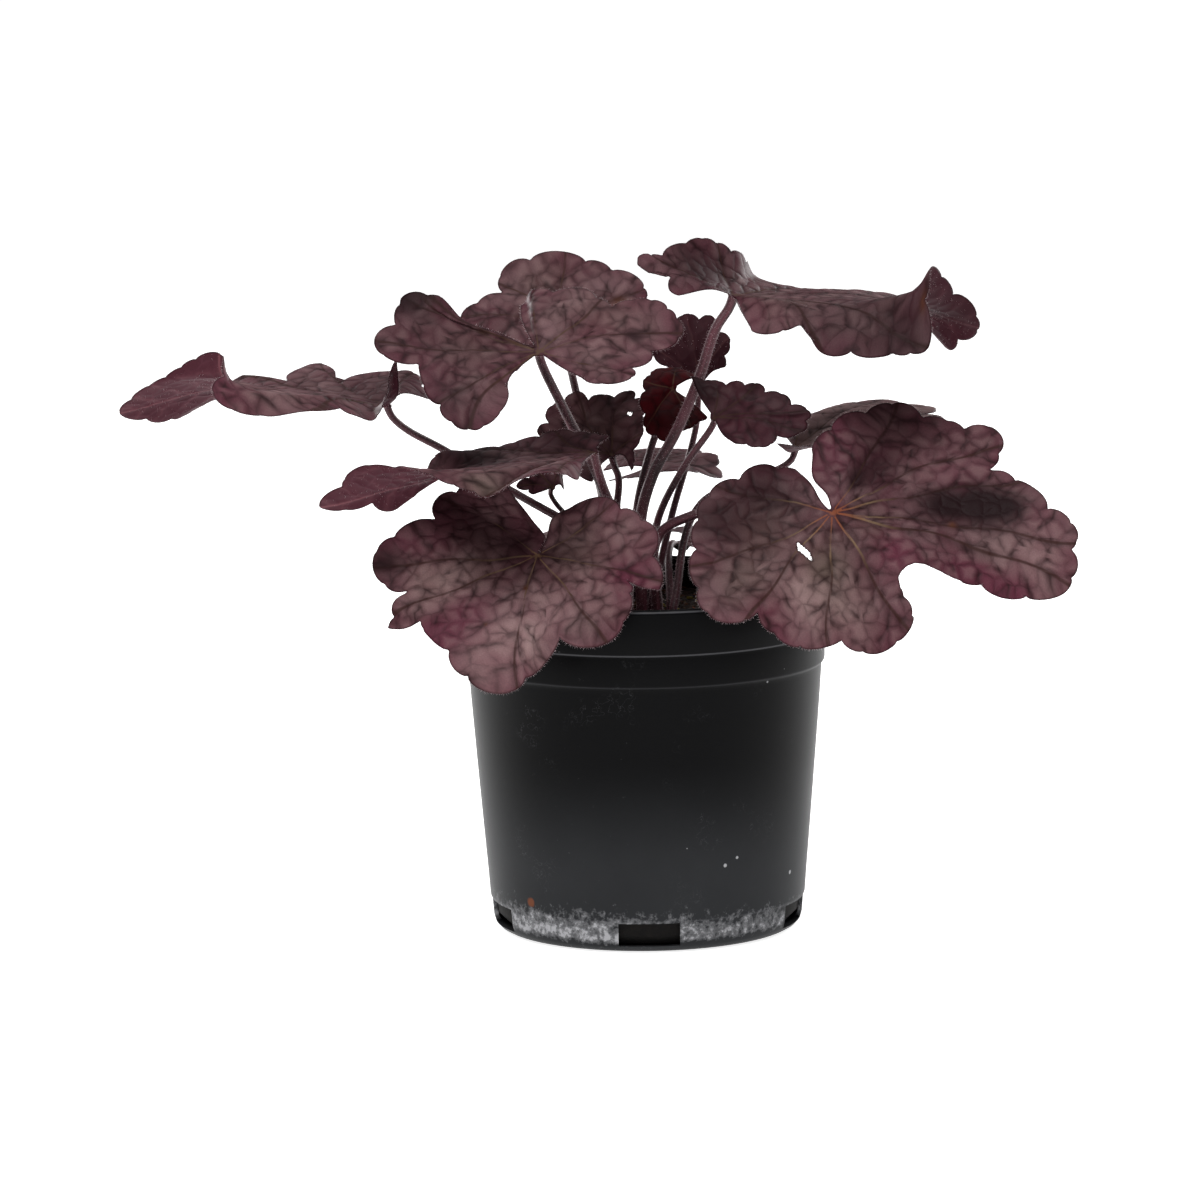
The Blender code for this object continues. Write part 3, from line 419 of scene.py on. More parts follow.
LEAVES = {
    "leaf_front_left": Leaf(
        base=(-7, -15), stalk=1.9, joint=(-48, -60, 180), mains=(1, 3, 4, 7, 9, 11, 13),
        warmth=0.62,
        route="-12 -28 172, -29 -44 187",
        lines="""
            -44 -57 186, -50 -52 195, -59 -46 206; -69 -52 195, -91 -46 204;
            -80 -60 187, -110 -54 191; -85 -66 179, -120 -58 176;
            -79 -72 169, -107 -74 159, -114 -82 153; -71 -78 163, -97 -88 147;
            -62 -84 157, -79 -98 134; -56 -86 155, -58 -100 131; -40 -84 161, -42 -98 143;
            -31 -83 163, -19 -96 150; -25 -78 171, -5 -93 165; -21 -70 177, 5 -82 171;
            -21 -60 184, 3 -66 190; -29 -54 190, -14 -52 200;
            -44 -57 187, -41 -53 196, -32 -48 200""",
        rim="""
            0 1.02, .04 1.18 .5, .22 1.26 .5, .68 1.05, 1.54 .83, 2.2 .98, 2.64 1.02, 3.34 .94,
            3.66 .78, 3.98 .93, 4.02 1.02 .6, 4.48 .86, 4.66 .91, 5.44 .95, 6.04 1.02,
            7.24 1.02, 8.16 .9, 9.44 1.04, 10.1 .92, 10.66 .79, 10.72 1.05 .3, 11.54 .95,
            12.36 1.01, 12.84 1.01, 14 1""",
        washes={
            Mood.MAROON: """
                2.6 .85 8 .4, 2.5 .64 10 .45, 4.9 .7 12 .5, 4.8 .93 9 .6, 5.6 .85 13 .4,
                10.8 .69 9 .6, 10.8 .88 8 .8, 7 .5 9 .3""",
            # The dark patches are painted shade on the upper left lobes, which face away from the
            # light under leaf_left_middle.
            Mood.DARK: "1.4 .52 15 .32, 1.1 .89 13 .34, 1.2 .18 9 .4, 2.9 .93 7 .5",
            Mood.OLIVE: "3.6 .63 13 .35, 3.4 .35 10 .3, 11.5 .35 12 .35",
            # The strongest pale patch, on line 3.8, is a painted highlight on the folded left lobe.
            Mood.PALE_AND_HIGHLIGHT: """
                3.8 .62 15 1, 6.7 .85 16 .5, 6.6 .73 16 .9, 7.8 .62 14 .8, 12 .6 24 .3,
                10 .7 14 .35""",
            Mood.SPOT: "6.8 .29 1.4 1, 5.6 .66 .9 .8",
        },
    ),
    "leaf_front_right": Leaf(
        base=(6, -14), stalk=1.9, joint=(84, -56, 197),
        mains=(2, 4, 6, 8, 10, 12, 13, 15, 16, 18), warmth=1,
        route="7 -21 183, 22 -24 192, 48 -26 198, 73 -36 200",
        lines="""
            80 -53 201, 75 -47 209, 69 -40 214; 63 -48 206, 51 -42 216; 59 -52 203, 31 -52 207;
            54 -58 194, 24 -62 195; 54 -66 184, 23 -74 177; 58 -72 178, 28 -88 160;
            62 -76 175, 44 -92 154; 71 -76 172, 64 -92 145; 82 -75 170, 80 -92 143;
            91 -74 169, 97 -90 140; 101 -70 171, 116 -84 144; 132 -62 180, 174 -70 159;
            139 -58 184, 190 -66 166; 141 -54 190, 193 -60 182; 139 -48 196, 182 -50 197;
            131 -42 204, 173 -40 207; 122 -38 213, 162 -30 223; 111 -36 218, 136 -22 233;
            102 -38 220, 116 -20 243; 93 -42 219, 91 -26 239;
            82 -51 204, 76 -46 211, 76 -38 222""",
        rim="""
            0 1.01, .54 .94, 1.52 .92, 2.22 .98, 2.98 .99, 3.66 .99, 4.5 1, 5.08 1.02,
            5.96 .98, 6.1 .9, 6.62 .98, 7.26 1.02 .6, 8.4 .94, 8.94 1 .7, 9.86 .99, 10.16 .86,
            10.2 .72, 10.24 .65 0, 10.3 .58 0, 10.38 .55 0, 10.48 .53 0, 10.58 .53 0,
            10.64 .56 0, 10.68 .65 0, 10.72 .74 .4, 10.82 .8, 10.98 .96, 12.12 .99, 12.82 .97,
            13.08 1, 13.56 1.03, 13.96 .98, 15.1 .94, 15.46 .85, 15.84 .94, 16.48 1.08,
            16.64 .99, 16.96 1.01, 17.34 .94 .6, 18.08 .95, 18.56 .89 .6, 19.38 .93, 20 .99""",
        slits=((1.5, (5.1, 0.3), (6, 0.35), (6.6, 0.36), (7, 0.39)),),
        washes={
            Mood.MAROON: """
                15.2 .64 16 .5, 10.6 .42 10 .7, 10.8 .72 10 .75, 10.9 .92 12 .6,
                18.6 .6 20 .55, 6.4 .86 11 .45""",
            Mood.DARK: """
                17.7 .8 15 .45, 17.2 .44 12 .5, 14.1 .71 12 .6, 14.3 .47 9 .5, 10.6 .7 12 .12,
                1.7 .63 16 .5, 3 .88 14 .5, 14.2 .55 7 .8, 14.3 .7 9 .8, 14.1 .82 7 .7,
                17.9 .3 6 .5""",
            Mood.OLIVE: """
                3.5 .5 16 .4, 8.2 .7 14 .3, 8 .4 12 .4, 5 .72 14 .4, 7.5 .43 10 .4,
                11.2 .17 9 .3""",
            Mood.PALE_AND_HIGHLIGHT: "16.6 .6 18 .45, 12.2 .82 22 .6, 8.2 .79 18 .8, 7.1 .6 13 .75",
            Mood.SPOT: "13 .49 1.6 1",
        },
    ),
    "leaf_high_left": Leaf(
        base=(-10, -1), stalk=2, joint=(-46, -48, 270), mains=(1, 3, 5, 7, 10, 12, 14, 15),
        warmth=0.2,
        route="-16 -8 195, -23 -12 215, -30 -16 229, -37 -28 245",
        lines="""
            -36 -56 264, -26 -66 260; -25 -56 265, -6 -66 262; -19 -50 271, 4 -56 267;
            -14 -42 277, 17 -40 276; -16 -36 280, 6 -26 289; -25 -34 285, -16 -20 291;
            -36 -34 285, -30 -16 294; -48 -34 284, -48 -14 294; -51 -36 279, -55 -20 288;
            -62 -42 277, -83 -34 285, -90 -27 293; -75 -38 279, -106 -28 293;
            -79 -42 275, -113 -36 286; -80 -48 271, -118 -48 275; -77 -56 264, -102 -62 259;
            -73 -62 260, -94 -70 247; -68 -64 256, -77 -74 240; -59 -58 260, -62 -70 249""",
        rim="""
            0 1.01, .16 1.22, .84 1.1 .8, 1.38 .92, 2.1 .98, 2.32 .91, 2.9 .99 .7, 3.46 1.02,
            3.72 1.02, 4.1 1, 4.4 .96, 4.58 .81, 5.2 .95, 5.6 1.05 .5, 6.48 .92, 7.04 1.01,
            7.96 .97 .3, 8.06 .6 0, 8.12 .14 0, 8.9 .14 0, 8.97 .6 0, 9 1 .6, 9.28 1, 10.4 .97,
            11.28 .92 .8, 12.3 1.01 .8, 12.56 .84 .6, 13.16 .94 .6, 14 .91 .8, 14.54 .98,
            15.02 1.01 .8, 15.48 1.07 .8, 15.92 1.07, 16 .7 .6""",
        washes={
            Mood.MAROON: "4 .43 14 .35, 13 .7 22 .3",
            Mood.DARK: "10.2 .96 9 .6, 2.8 .7 4 .6, 14 .82 12 .2, 11 .6 45 .14",
            Mood.OLIVE: "11.6 .43 14 .3, 4.6 .7 14 .3",
            Mood.PALE_AND_HIGHLIGHT: "4.2 .5 26 .3, 14.7 .6 16 .25",
        },
    ),
    "leaf_high_back": Leaf(
        base=(-17, 5), stalk=1.7, joint=(-36, 30, 272), mains=(1, 3, 5, 7, 9, 11),
        route="-18 24 190, -24 52 212, -30 54 239, -33 46 254",
        lines="""
            -28 16 264, -19 10 251; -20 20 269, 0 20 262; -18 28 276, 4 34 275;
            -18 34 281, 2 44 288; -27 38 287, -16 50 298; -37 40 289, -34 52 301;
            -46 38 288, -53 48 300; -50 34 285, -64 40 292; -55 30 282, -74 32 286;
            -55 26 278, -83 26 277; -53 22 273, -78 18 266; -46 18 265, -57 10 254""",
        rim="""
            0 .98, .5 .94, 1 .98, 1.5 .9, 2.64 .96 .8, 3 .99, 3.78 .95, 4.48 .97, 5.82 .99,
            6.82 1.05 .8, 7.46 .83 .8, 8.3 .93 .8, 8.94 .98 .6, 10 .95, 10.5 .92, 11 .98""",
        washes={Mood.OLIVE: "5.8 .63 14 .3", Mood.SPOT: "2.7 .66 4 .9"},
    ),
    "leaf_high_right": Leaf(
        base=(-1, -8), stalk=2.2, joint=(42, -10, 290), mains=(2, 4, 7, 9, 11, 14, 16),
        route="-1 -16 191, 5 -18 211, 15 -18 229, 26 -16 254, 34 -13 276",
        lines="""
            44 -22 286, 49 -38 278; 59 -32 288, 70 -46 280; 68 -34 288, 83 -54 268;
            84 -38 284, 107 -56 267; 97 -38 285, 126 -54 270;
            103 -32 289, 124 -40 296, 129 -34 303; 106 -18 288, 132 -24 288, 141 -20 292;
            106 -2 287, 134 -4 280, 152 -4 273; 105 14 286, 131 16 273, 139 16 263;
            101 26 286, 122 44 281; 88 30 286, 105 56 284; 69 26 289, 79 52 285;
            52 14 293, 55 38 292; 44 8 297, 46 16 305; 38 2 297, 34 6 313;
            32 -6 298, 20 -4 312; 29 -14 297, 11 -14 306; 31 -20 294, 18 -24 292""",
        rim="""
            0 .98, .54 1.11, 1.4 .86, 1.56 .97 .6, 2.54 .94, 3.32 .96, 3.7 .97 .5, 4 1.01 .4,
            4.6 .97 .5, 5 1 .6, 5.58 .99 .5, 6.08 .98, 6.66 1.01 .6, 7.06 1 .5, 7.58 .97,
            8.2 1.02 .6, 8.5 .9, 9.1 .98, 9.6 .9, 10.1 .98, 10.5 .94, 11 .98, 11.5 .88,
            12.2 .97, 12.7 .97, 13.42 .94 .8, 13.98 .96 .8, 14.38 1.03 .6, 14.9 1.02 .8,
            15.82 1.05 .3, 16.2 1.35 .3, 16.32 1.38 .4, 16.36 1.22 .4, 16 1 .6, 16.48 .99 .8,
            16.84 1.13 .8, 17 1""",
        washes={
            Mood.MAROON: "6.6 .9 18 .5",
            Mood.DARK: "15.2 .63 16 .5, 4 .9 10 .3, 4 .7 38 .26, 6.8 .9 22 .42",
            Mood.OLIVE: "3.3 .35 8 .3",
            Mood.PALE_AND_HIGHLIGHT: "1.9 .5 12 .3",
            Mood.SPOT: "4.6 .95 1.8 .7",
        },
    ),
    "leaf_far_left": Leaf(
        base=(-15, -9), stalk=1.6, joint=(-115, -12, 242), mains=(1, 3, 5, 7, 9, 12, 14),
        route="-19 -16 180, -40 -12 191, -63 -2 203, -89 2 219",
        lines="""
            -109 0 246, -94 12 241; -111 8 248, -104 30 252; -120 10 247, -121 38 252;
            -135 14 247, -147 46 254; -144 14 247, -159 46 253; -153 12 247, -184 38 251;
            -160 8 247, -189 8 246, -214 8 234; -162 -6 248, -194 -6 250, -235 -8 240;
            -161 -20 250, -193 -20 256, -221 -24 255; -158 -32 251, -188 -34 261, -189 -30 268;
            -155 -40 251, -191 -52 255; -151 -42 250, -170 -56 245; -142 -40 248, -149 -54 246;
            -130 -32 245, -130 -46 243; -120 -24 243, -119 -36 241; -110 -24 249, -110 -32 266""",
        rim="""
            0 .98, .5 .88, 1 .97, 1.5 .95, 2.04 .95 .5, 2.74 .68 0, 2.94 .73 .8, 2.98 1.02 .8,
            4.2 .91 .8, 4.7 .74 0, 5 .98 0, 5.5 .96 .3, 6.14 .96, 6.54 .97 .8, 7.06 1.01 .6,
            7.48 .99 .6, 7.92 .99 .5, 8.2 .99 .3, 8.44 1.01 .6, 8.62 1.02 .8, 9.02 1 .6,
            9.5 .94 .6, 10.06 1.01 .6, 10.6 1.05 .5, 11.06 1.02 .3, 12.06 1.02 .3,
            12.64 .84 .5, 13 1.02 .5, 14 1 .6, 14.5 .85, 15 .98""",
        washes={
            Mood.MAROON: "12.1 .91 8 .5, 10.1 .97 10 .4, 7.6 .85 20 .6",
            Mood.DARK: "1.5 .5 30 .28",
            Mood.PALE_AND_HIGHLIGHT: "9.5 .55 22 .35",
        },
    ),
    "leaf_left_middle": Leaf(
        base=(-7, -7), stalk=1.8, joint=(-22, -45, 224), mains=(2, 4, 7, 9, 11, 13),
        route="-12 -20 189, -18 -34 207",
        lines="""
            -20 -42 227, -15 -36 230; -26 -38 228, -24 -32 231; -35 -36 227, -39 -28 232;
            -45 -36 226, -57 -28 227; -55 -38 224, -77 -30 224; -65 -42 222, -95 -38 222;
            -68 -50 220, -91 -50 214, -113 -50 199; -69 -60 220, -96 -62 215, -143 -64 204;
            -69 -66 221, -96 -72 219, -132 -78 219; -69 -74 222, -93 -82 222, -112 -84 225;
            -64 -84 221, -86 -96 217; -56 -85 219, -71 -101 212; -48 -87 222, -55 -101 220;
            -36 -79 223, -41 -95 222; -27 -68 222, -29 -82 217""",
        rim="""
            0 .98, .5 .95, 1 .98, 1.5 .92, 2 .97, 2.5 .92, 3.1 .97, 3.6 .9, 4.1 .96, 4.5 .92,
            5 .98 .5, 5.5 .92 .5, 5.96 .98 .8, 6.58 .89 .8, 6.7 .97 .6, 6.98 1.01 .6,
            7.62 .96 .6, 7.9 .99 .6, 8.64 1.02 .5, 8.72 .92 .6, 9.5 .95 .6, 10 .97 .6,
            10.5 .95 .6, 11 .98 .6, 11.5 .94 .6, 12 .97 .6, 12.5 .95 .6, 13 .97 .6,
            13.5 .95 .6, 14 .98""",
        washes={
            Mood.MAROON: "7.4 .92 12 .7",
            Mood.DARK: "2.8 .46 14 .5, 5 .76 12 .4",
            Mood.OLIVE: "10.6 .89 8 .7",
        },
    ),
    "leaf_centre_back": Leaf(
        base=(-9, 5), stalk=1.6, joint=(-14, 18, 214), mains=(1, 3, 5, 7, 8),
        route="-12 14 189, -11 18 204",
        lines="""
            -9 11 215, -5 1 209; -6 17 221, 0 15 225; -8 23 230, 1 29 238;
            -12 25 232, -4 35 242; -20 27 230, -19 37 240; -26 27 229, -30 35 242;
            -32 23 228, -43 27 235; -34 17 222, -48 15 226; -28 11 217, -38 1 214;
            -19 7 211, -23 -5 205""",
        notches=(20, 3, 12, 10, 12, 6, 12, 10, 3),
        slits=((1.3, (1.9, 0.7), (2.02, 0.7)),),
        washes={Mood.DARK: "4.5 .6 30 .3", Mood.OLIVE: "4.5 .5 20 .35"},
    ),
    "leaf_centre_right": Leaf(
        base=(5, -5), stalk=1.5, joint=(32, -28, 237), mains=(0, 2, 3, 5, 7),
        route="6 -11 186, 19 -18 214",
        lines="""
            36 -36 230, 41 -42 227; 45 -38 232, 55 -46 226; 50 -38 237, 73 -46 233;
            52 -36 240, 76 -40 240; 48 -34 243, 65 -34 247; 44 -32 246, 53 -28 252;
            39 -30 246, 43 -24 253; 34 -28 246, 33 -22 253; 26 -26 246, 22 -20 255""",
        notches=(6, 12, 6, 10, 12, 10, 12, 6),
        washes={
            Mood.MAROON: "1.7 .35 12 .5, 2.6 .77 8 .4, 2 .6 20 .3",
            Mood.DARK: "8 .7 10 .6, 3 .6 60 .45",
        },
    ),
    "leaf_centre_red": Leaf(
        base=(-3, 8), stalk=1.6, joint=(14, 6, 246), mains=(1, 3, 5, 7),
        route="-3 6 189, 4 10 218, 10 12 234",
        lines="""
            22 8 250, 28 12 250; 15 10 252, 16 16 254; 8 8 251, 7 14 254; 6 4 248, 1 4 250;
            6 -2 243, -1 -6 241; 7 -4 238, 2 -10 228; 14 -4 237, 10 -12 224;
            19 -2 238, 22 -10 230; 22 0 241, 30 -6 234""",
        notches=(3, 6, 10, 14, 12, 8, 10, 3),
    ),
    "leaf_upper_back": Leaf(
        base=(3, 7), stalk=1.4, joint=(28, 38, 244), mains=(1, 3, 5),
        route="13 14 186, 25 25 227",
        lines="""
            20 37 249, 10 37 253; 16 40 254, 2 42 262; 18 40 257, 9 46 270;
            24 42 259, 21 52 275; 30 42 259, 33 52 274; 33 38 256, 41 44 264;
            33 35 250, 39 36 252""",
        notches=(3, 10, 8, 10, 12, 14),
        washes={Mood.MAROON: "3 .5 30 .5", Mood.DARK: "3 .5 60 .5"},
    ),
    "leaf_right_back": Leaf(
        base=(13, -4), stalk=1.5, joint=(70, 28, 215), mains=(1, 3, 4, 6, 8),
        route="26 16 191, 47 22 201",
        lines="""
            67 14 215, 61 0 221; 79 12 218, 81 -10 221; 93 14 222, 103 -12 225;
            100 22 224, 124 4 225; 104 34 226, 139 30 227; 102 46 227, 136 58 229;
            94 54 228, 114 82 230; 83 52 227, 95 84 228; 73 44 224, 75 70 223;
            66 38 219, 62 54 218""",
        notches=(20, 3, 10, 12, 12, 10, 12, 10, 10),
        washes={Mood.OLIVE: "4.2 .72 30 .4, 6.5 .08 12 .4", Mood.PALE_AND_HIGHLIGHT: "5 .6 40 .95"},
    ),
    "leaf_far_back": Leaf(
        base=(2, 15), stalk=1.3, joint=(3, 58, 203), mains=(1, 3, 5, 7),
        route="-1 36 188, 1 50 198",
        lines="""
            -4 52 201, -16 48 198; 4 44 203, -1 32 202; 14 46 205, 19 36 204;
            21 54 204, 37 54 198; 22 64 205, 35 72 206; 16 76 206, 23 94 206;
            6 80 207, 6 100 206; -3 76 206, -11 92 205; -5 62 203, -18 68 200""",
        notches=(10, 12, 14, 10, 12, 10, 12, 10),
    ),
    "leaf_young_left": Leaf(
        base=(-18, -3), stalk=1.1, joint=(-41, -6, 203), mains=(1, 3, 4),
        route="-20 4 175, -35 2 189",
        lines="""
            -38 -4 204, -36 0 201; -39 -2 209, -37 2 212; -43 -4 211, -44 -2 215;
            -47 -8 210, -50 -10 213; -48 -10 205, -58 -14 205; -45 -10 202, -50 -14 201""",
        notches=(10, 15, 12, 25, 20),
    ),
    "leaf_low_right_back": Leaf(
        base=(12, 8), stalk=1.5, joint=(22, 52, 171), mains=(1, 3, 5, 6),
        route="13 36 170",
        lines="""
            18 48 170, 12 40 170; 26 42 168, 33 26 168; 37 48 167, 50 40 163;
            40 62 168, 59 66 159; 37 76 169, 53 92 161; 29 82 170, 38 104 165;
            21 76 171, 22 98 169; 17 66 171, 10 78 170""",
        notches=(12, 12, 12, 14, 14, 12, 12),
    ),
    "leaf_low_left_back": Leaf(
        base=(-11, 13), stalk=1.5, joint=(-34, 50, 174), mains=(1, 3, 4, 6),
        route="-18 30 171",
        lines="""
            -27 68 172, -19 78 172; -30 82 171, -26 102 169; -38 88 170, -42 110 164;
            -48 82 168, -60 102 159; -53 68 167, -73 74 158; -52 52 168, -69 44 164;
            -44 38 170, -52 24 168; -31 38 172, -27 20 172""",
        notches=(12, 12, 14, 12, 14, 12, 12),
    ),
}


@dataclass
class Blade:
    """The curved sheet of one leaf: across(u, t) is its place at line u, a share t of its length.

    scallop is the margin's length from cusp to cusp where the leaf lists none, bulge how far a
    scallop stands out of its own width, and bulge_inset how far in from the margin that reaches.
    aim is the share of the way out at which a line's turn round the joint is read. The outward
    direction is read at inner_share and smoothed over smooth_reach samples each way.
    """

    leaf: Leaf
    scallop: float = 13.0
    bulge: float = 0.20
    bulge_inset: float = 9.0
    roundness: float = 0.6
    cusp_depth: float = 0.02
    lobe_roundness: float = 2.2
    deep_notch: float = 0.05
    samples: int = 60
    aim: float = 0.6
    inner_share: float = 0.97
    smooth_reach: int = 20
    smooth_width: float = 8.0
    joint: Array = field(init=False)
    lines: list = field(init=False)
    last: int = field(init=False)

    def __post_init__(self) -> None:
        """Works out the margin, its scallops, and the flat plan of the blade."""
        self.joint = np.array(self.leaf.joint, float)
        self.lines = [np.vstack([self.joint, line]) for line in runs(self.leaf.lines)]
        self.knots = [knots_along(line) for line in self.lines]
        self.last = len(self.lines) - 1
        cusps = run(self.leaf.rim) if self.leaf.rim else self.plain_rim()
        self.cusps = np.array([(*cusp, 1.0)[:3] for cusp in cusps])
        self.fine = np.linspace(0, self.last, self.samples * self.last + 1)
        margin = self.across(self.fine, self.lobes(self.fine))
        self.share = knots_along(margin)
        self.length = np.linalg.norm(np.diff(margin, axis=0), axis=1).sum()
        self.cusps_at = np.interp(self.cusps[:, 0], self.fine, self.share) * self.length
        self.long = np.array([np.linalg.norm(np.diff(v, axis=0), axis=1).sum() for v in self.lines])
        spots = [self.along_line(k, np.array([self.aim]))[0] for k in range(self.last + 1)]
        ways = unit(np.array(spots) - self.joint)
        steps = np.arccos(np.clip((ways[1:] * ways[:-1]).sum(axis=1), -1, 1))
        self.turns = np.concatenate([[0.0], np.cumsum(steps)])
        within = self.across(self.fine, self.lobes(self.fine) * self.inner_share)
        tangent = np.gradient(margin, axis=0)
        outward = unit(np.cross(tangent, np.cross(margin - within, tangent)))
        self.steps = np.linspace(0, 1, max(self.samples, round(2 * self.length)))
        evenly = np.column_stack([np.interp(self.steps, self.share, way) for way in outward.T])
        reach = self.smooth_reach
        window = np.exp(-0.5 * (np.arange(-reach, reach + 1) / self.smooth_width) ** 2)
        window /= window.sum()
        padded = np.pad(evenly, ((reach, reach), (0, 0)), mode="edge")
        smooth = [np.convolve(way, window, mode="valid") for way in padded.T]
        self.outward = np.column_stack(smooth)

    def along_line(self, number: int, t: Array) -> Array:
        """The places at shares t of one guide line."""
        return smooth_path(self.lines[number], self.knots[number], t)

    def across(self, u: Array, t: Array) -> Array:
        """Reads the sheet with a Catmull-Rom curve across its guide lines.

        Args:
            u: guide lines, as numbers with fractions.
            t: shares of the way out.

        Returns:
            One place for each.
        """
        u, t = np.broadcast_arrays(np.asarray(u, float), np.asarray(t, float))
        part = np.clip(np.floor(u).astype(int), 0, self.last - 1)
        places = np.empty((*u.shape, 3))
        for k in np.unique(part):
            here = part == k
            f, way = (u[here] - k)[:, None], t[here]
            b, c = self.along_line(k, way), self.along_line(k + 1, way)
            a = self.along_line(k - 1, way) if k > 0 else 2 * b - c
            d = self.along_line(k + 2, way) if k < self.last - 1 else 2 * c - b
            square = 2 * a - 5 * b + 4 * c - d
            cube = 3 * b - a - 3 * c + d
            places[here] = 0.5 * (2 * b + (c - a) * f + square * f**2 + cube * f**3)
        return places

    def plain_rim(self) -> list[tuple]:
        """Sets down the cusps between scallops for a margin that the leaf doesn't list.

        Returns:
            For each cusp its line and its share of the way out.
        """
        notches = np.array(self.leaf.notches) / 100
        tips = np.array([line[-1] for line in self.lines])
        wide = np.linalg.norm(np.diff(tips, axis=0), axis=1)
        cusps = []
        for k in range(self.last + 1):
            sides = [n for n in (k - 1, k) if 0 <= n < self.last]
            deep = max(notches[n] for n in sides)
            reach = sum(wide[n] for n in sides) / 2
            count = max(round(reach / self.scallop), 3 if deep > self.deep_notch else 1)
            start, end = max(0.0, k - 0.5), min(float(self.last), k + 0.5)
            for step in range(count):
                u = start + (end - start) * step / count
                notch = notches[min(int(u), self.last - 1)]
                cut = notch * abs(2 * (u - k)) ** self.lobe_roundness
                cusps.append((u, 1 - self.cusp_depth - cut))
        return [*cusps, (float(self.last), 1 - self.cusp_depth)]

    def lobes(self, u: Array) -> Array:
        """How far the blade reaches at line u, before its scallops."""
        return np.interp(u, self.cusps[:, 0], self.cusps[:, 1])

    def scallops_at(self, u: Array, inset: Array) -> Array:
        """How far the margin's round scallops move places on the sheet.

        Args:
            u: guide lines.
            inset: how far in from the margin each place is, in millimetres.

        Returns:
            One move for each, in millimetres.
        """
        along = np.interp(u, self.fine, self.share)
        at = along * self.length
        part = np.clip(np.searchsorted(self.cusps_at, at, side="right") - 1, 0, len(self.cusps) - 2)
        wide = np.diff(self.cusps_at)[part]
        turn = 2 * (at - self.cusps_at[part]) / wide - 1
        full = (self.cusps[part, 2] + self.cusps[part + 1, 2]) / 2
        size = self.bulge * wide * full * np.clip(1 - turn**2, 0, 1) ** self.roundness
        size *= np.clip(1 - inset / self.bulge_inset, 0, 1) ** 2
        way = np.column_stack([np.interp(along, self.steps, part) for part in self.outward.T])
        return way * size[:, None]

    def plan(self, u: Array, t: Array) -> tuple[Array, Array]:
        """Unrolls the blade.

        Args:
            u: guide lines.
            t: shares of the way out.

        Returns:
            For each place its turn round the joint, in radians, and its distance from it.
        """
        spots = np.arange(self.last + 1)
        flat = smooth_path(np.column_stack([self.turns, self.long]), spots, u)
        return flat[..., 0], flat[..., 1] * t

    def collar(self, radius: float, sides: int) -> tuple[Array, Array]:
        """The first row of the sheet: a ring round the joint.

        Args:
            radius: the ring's radius.
            sides: how many places it has.

        Returns:
            The guide line and the place of each of its points.
        """
        lines = np.arange(self.last + 1)
        ways = unit(self.across(lines, np.full(self.last + 1, 0.05)) - self.joint)
        upward = np.cross(ways[:-1], ways[1:]).sum(axis=0)
        upward /= np.linalg.norm(upward)
        right = ways[0] - upward * ways[0].dot(upward)
        right /= np.linalg.norm(right)
        back = np.cross(upward, right)
        headings = np.unwrap(np.arctan2(ways @ back, ways @ right))
        turn = (headings[-1] - 2 * pi) / 2 + 2 * pi * (np.arange(sides) + 0.5) / sides
        ring = np.outer(np.cos(turn), right) + np.outer(np.sin(turn), back)
        return np.interp(turn, headings, lines), self.joint + ring * radius


